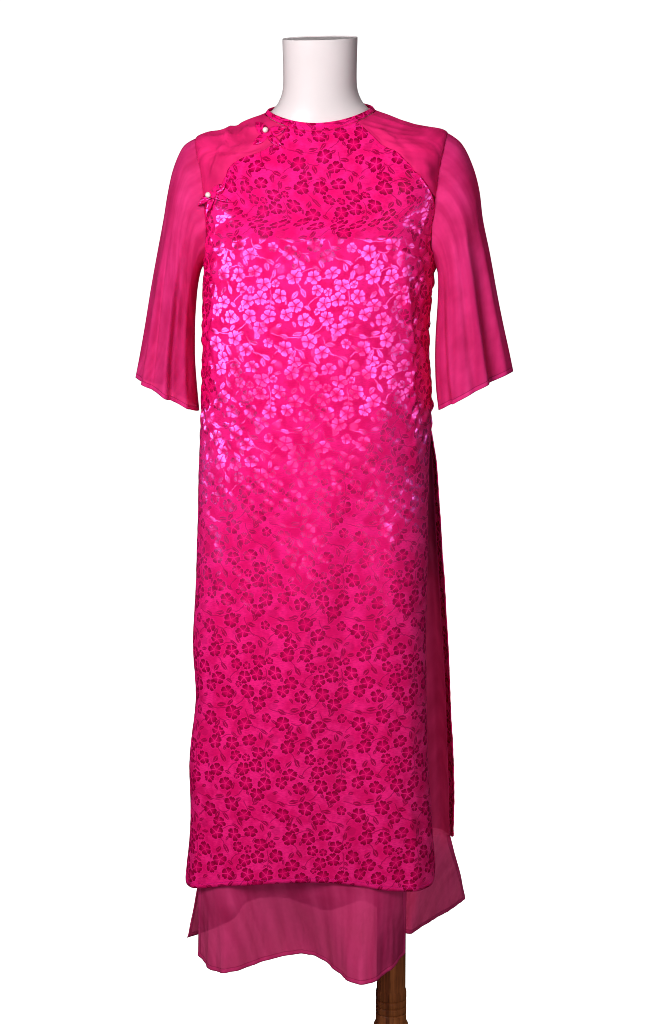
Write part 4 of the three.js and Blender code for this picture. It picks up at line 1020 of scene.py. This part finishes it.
# Radius and height in mm, from the bottom up.
POST = [
    (0, 28.5), (31, 28.5), (32.6, 30), (33.4, 36), (32.6, 42), (30, 48), (25, 53), (23, 60), (21, 88),
    (21, 108), (22, 126), (24.6, 131), (26, 134), (26.6, 137.5), (26, 141), (24, 145), (23.3, 147),
    (23.3, 157), (22.6, 158), (21.3, 159), (22.6, 160), (23.3, 161), (23.3, 168), (22.6, 169),
    (21.3, 170), (22.6, 171), (23.3, 172), (23.3, 179), (22.6, 180), (21.3, 181), (22.6, 182),
    (23.3, 183), (23.3, 192), (22.8, 195), (21.8, 198), (21.8, 795.5), (30, 798), (34, 801.5),
    (34, 811.5), (0, 811.5),
]
BASE = [
    (0, 0), (161, 0), (163.6, 0.8), (165, 2.6), (165, 14), (164.2, 16.5), (161, 19), (160.4, 21),
    (158, 23.4), (150, 26.6), (145.6, 27.6), (142, 28), (0, 28),
]
POST_AXIS = ((108 + PLACE[0]) * MM, PLACE[1] * MM, 0)


def turned(name, profile, node):
    """A profile spun round the post's axis."""
    bm = bmesh.new()
    points = [bm.verts.new((radius * MM, 0, height * MM)) for radius, height in profile]
    edges = [bm.edges.new(pair) for pair in zip(points, points[1:])]
    bmesh.ops.spin(bm, geom=points + edges, cent=(0, 0, 0), axis=(0, 0, 1), angle=2 * pi, steps=72,
                   use_merge=True)
    bmesh.ops.remove_doubles(bm, verts=bm.verts, dist=0.000005)
    bmesh.ops.recalc_face_normals(bm, faces=bm.faces)
    bmesh.ops.translate(bm, verts=bm.verts, vec=POST_AXIS)
    piece = mesh_piece(name, bm, "wood", node)
    crisp = piece.modifiers.new("edges", "EDGE_SPLIT")
    crisp.split_angle = radians(42)
    return piece


# Turned walnut under satin varnish: long dark grain up the post, fine pores and a worn soft gloss.
walnut, tree = new_material("varnished_walnut")
spot = add(tree, "TexCoord").outputs["Object"]
spot = add(tree, "Mapping", Vector=spot, Location=(-0.102, 0.017, 0)).outputs[0]
grain = noise(stretched(spot, (260, 260, 7)), 1.0, 5.0, Roughness=0.65)
figure = noise(stretched(spot, (60, 60, 3)), 1.0, 2.0, Distortion=0.8)
pores = noise(stretched(spot, (900, 900, 40)), 1.0, 1.0)
timber = blend(ramp(grain, 0.35, 0.7), linear("4E2410"), linear("8A4A26"))
timber = blend(ramp(figure, 0.4, 0.7, 0.0, 0.6), timber, linear("A0602F"))
timber = blend(ramp(pores, 0.6, 0.72, 0.0, 0.5), timber, linear("34150A"))
relief = maths("MULTIPLY_ADD", pores, -0.5, times(grain, 0.6))
show(add(tree, "BsdfPrincipled", Base_Color=timber, Roughness=maths("MULTIPLY_ADD", grain, 0.2, 0.36),
         Coat_Weight=0.12, Coat_Roughness=0.25, Normal=bump(relief, 0.3, 0.0005)))
stand = [turned("turned_post", POST, "stand_post"), turned("round_base", BASE, "stand_base")]
for piece in stand:
    piece.data.materials.append(walnut)

# ---------------------------------------------------------------- stage, light and camera
# A pale floor in a white room, with plain soft light from the upper left front. A low arc of tinted
# strip lamps, which only the gloss of the silk sees, stands for windows.

pale, tree = new_material("pale_paper")
show(add(tree, "BsdfPrincipled", Base_Color=linear("F4F4F4"), Roughness=0.9, Emission_Color=(1, 1, 1, 1),
         Emission_Strength=1.0))
floor_mesh = bmesh.new()
bmesh.ops.create_grid(floor_mesh, x_segments=1, y_segments=1, size=80)
mesh = bpy.data.meshes.new("floor")
floor_mesh.to_mesh(mesh)
floor_mesh.free()
mesh.materials.append(pale)
floor = bpy.data.objects.new("floor", mesh)
bpy.context.scene.collection.objects.link(floor)
floor.visible_glossy = False
floor.visible_diffuse = False

world = bpy.data.worlds.new("studio")
bpy.context.scene.world = world
world.use_nodes = True
backdrop = world.node_tree.nodes["Background"]
backdrop.inputs["Color"].default_value = (1.0, 0.98, 0.98, 1)
# The room is white to look at, and gives only a weak even light.
seen = add(world.node_tree, "LightPath").outputs["Is Camera Ray"]
strength = maths("MULTIPLY_ADD", seen, 0.88, 0.13)
world.node_tree.links.new(strength, backdrop.inputs["Strength"])
world.cycles_visibility.glossy = False


def area_light(name, place, target, size, power, colour, only=(), gloss=False):
    """A lamp for plain shading or, with gloss, for reflections, if need be on a few pieces only."""
    light = bpy.data.lights.new(name, "AREA")
    light.shape = "RECTANGLE"
    light.size, light.size_y = size
    light.energy = power
    light.color = colour
    lamp = bpy.data.objects.new(name, light)
    lamp.location = place
    lamp.rotation_euler = (Vector(target) - Vector(place)).to_track_quat("-Z", "Y").to_euler()
    lamp.visible_camera = False
    lamp.visible_diffuse = not gloss
    lamp.visible_glossy = gloss
    bpy.context.scene.collection.objects.link(lamp)
    if only:
        lamp.light_linking.receiver_collection = bpy.data.collections.new(name)
        for lit in only:
            lamp.light_linking.receiver_collection.objects.link(lit)


silk = (front, back, collar, *ties)
others = (form, *yokes, *sleeves, *underflaps, *buttons, *stand)
KEY = ((-0.6, -1.78, 2.0), (0, 0, 1.3), (1.0, 0.8), 43)
area_light("key", *KEY, (1.0, 0.98, 0.97), only=others)
# The silk has the same lamp in a tint of its own.
area_light("key_on_silk", *KEY, (1.0, 0.16, 0.93), only=silk)
area_light("fill", (1.5, -2.6, 2.2), (0, 0, 1.3), (1.2, 1.0), 8, (1.0, 0.98, 1.0))
area_light("back", (0.6, 2.6, 2.4), (0, 0, 1.2), (2.0, 1.4), 40, (1.0, 0.98, 0.98))
area_light("low_fill", (0.9, -3.6, 1.2), (0.1, 0, 0.6), (1.0, 1.0), 34, (1.0, 0.98, 0.98),
           only=(back, *underflaps, *stand))
# Light that has come through the silk into the skirt, seen at the wearer's left slit.
area_light("through_silk", (-0.03, -0.02, 0.62), (0.19, 0.05, 0.62), (0.12, 0.75), 0.34, (1.0, 0.3, 0.5),
           only=(back, *underflaps))
area_light("glow", (0, -1.4, 0.82), (0, 0, 0.95), (2.0, 0.19), 17, (1.0, 0.04, 0.3), gloss=True,
           only=(front, back))
area_light("soft_box", (-1.3, -1.8, 2.45), (0, 0, 1.4), (1.2, 1.0), 26, (1.0, 0.98, 0.97), gloss=True,
           only=others)
WINDOW_AWAY, WINDOW_HEIGHT, WINDOW_WIDE = 1.4, 1.065, 0.92
# Degrees round the dress, how tall the strip is, and its power.
for side, tall, power in ((-108, 0.3, 44), (-72, 0.3, 50), (-36, 0.3, 38), (0, 0.3, 37), (36, 0.3, 35),
                          (72, 0.26, 16), (108, 0.26, 28)):
    a = radians(side)
    area_light(f"window_{side}", (WINDOW_AWAY * sin(a), -WINDOW_AWAY * cos(a), WINDOW_HEIGHT),
               (0, 0, WINDOW_HEIGHT), (WINDOW_WIDE, tall), power, (1.0, 0.17, 0.82), gloss=True,
               only=(front, back, *ties))

CAMERA_TURN, CAMERA_TILT = radians(4.5), radians(90 - 12.3)
CAMERA_AWAY, CAMERA_HEIGHT = 4.49, 1.914
CAMERA_ASIDE = 4 / 3125  # in radians, how far it looks past the axis of the dress
camera = bpy.data.cameras.new("camera")
camera.lens = 109.86
camera.sensor_width = 36.0
viewer = bpy.data.objects.new("camera", camera)
bpy.context.scene.collection.objects.link(viewer)
bpy.context.scene.camera = viewer
viewer.location = (CAMERA_AWAY * sin(CAMERA_TURN) - 0.006, -CAMERA_AWAY * cos(CAMERA_TURN) - 0.017,
                   CAMERA_HEIGHT)
viewer.rotation_euler = (CAMERA_TILT, 0, CAMERA_TURN - CAMERA_ASIDE)
bpy.context.scene.view_settings.view_transform = "Standard"
bpy.context.scene.cycles.filter_width = 0.9
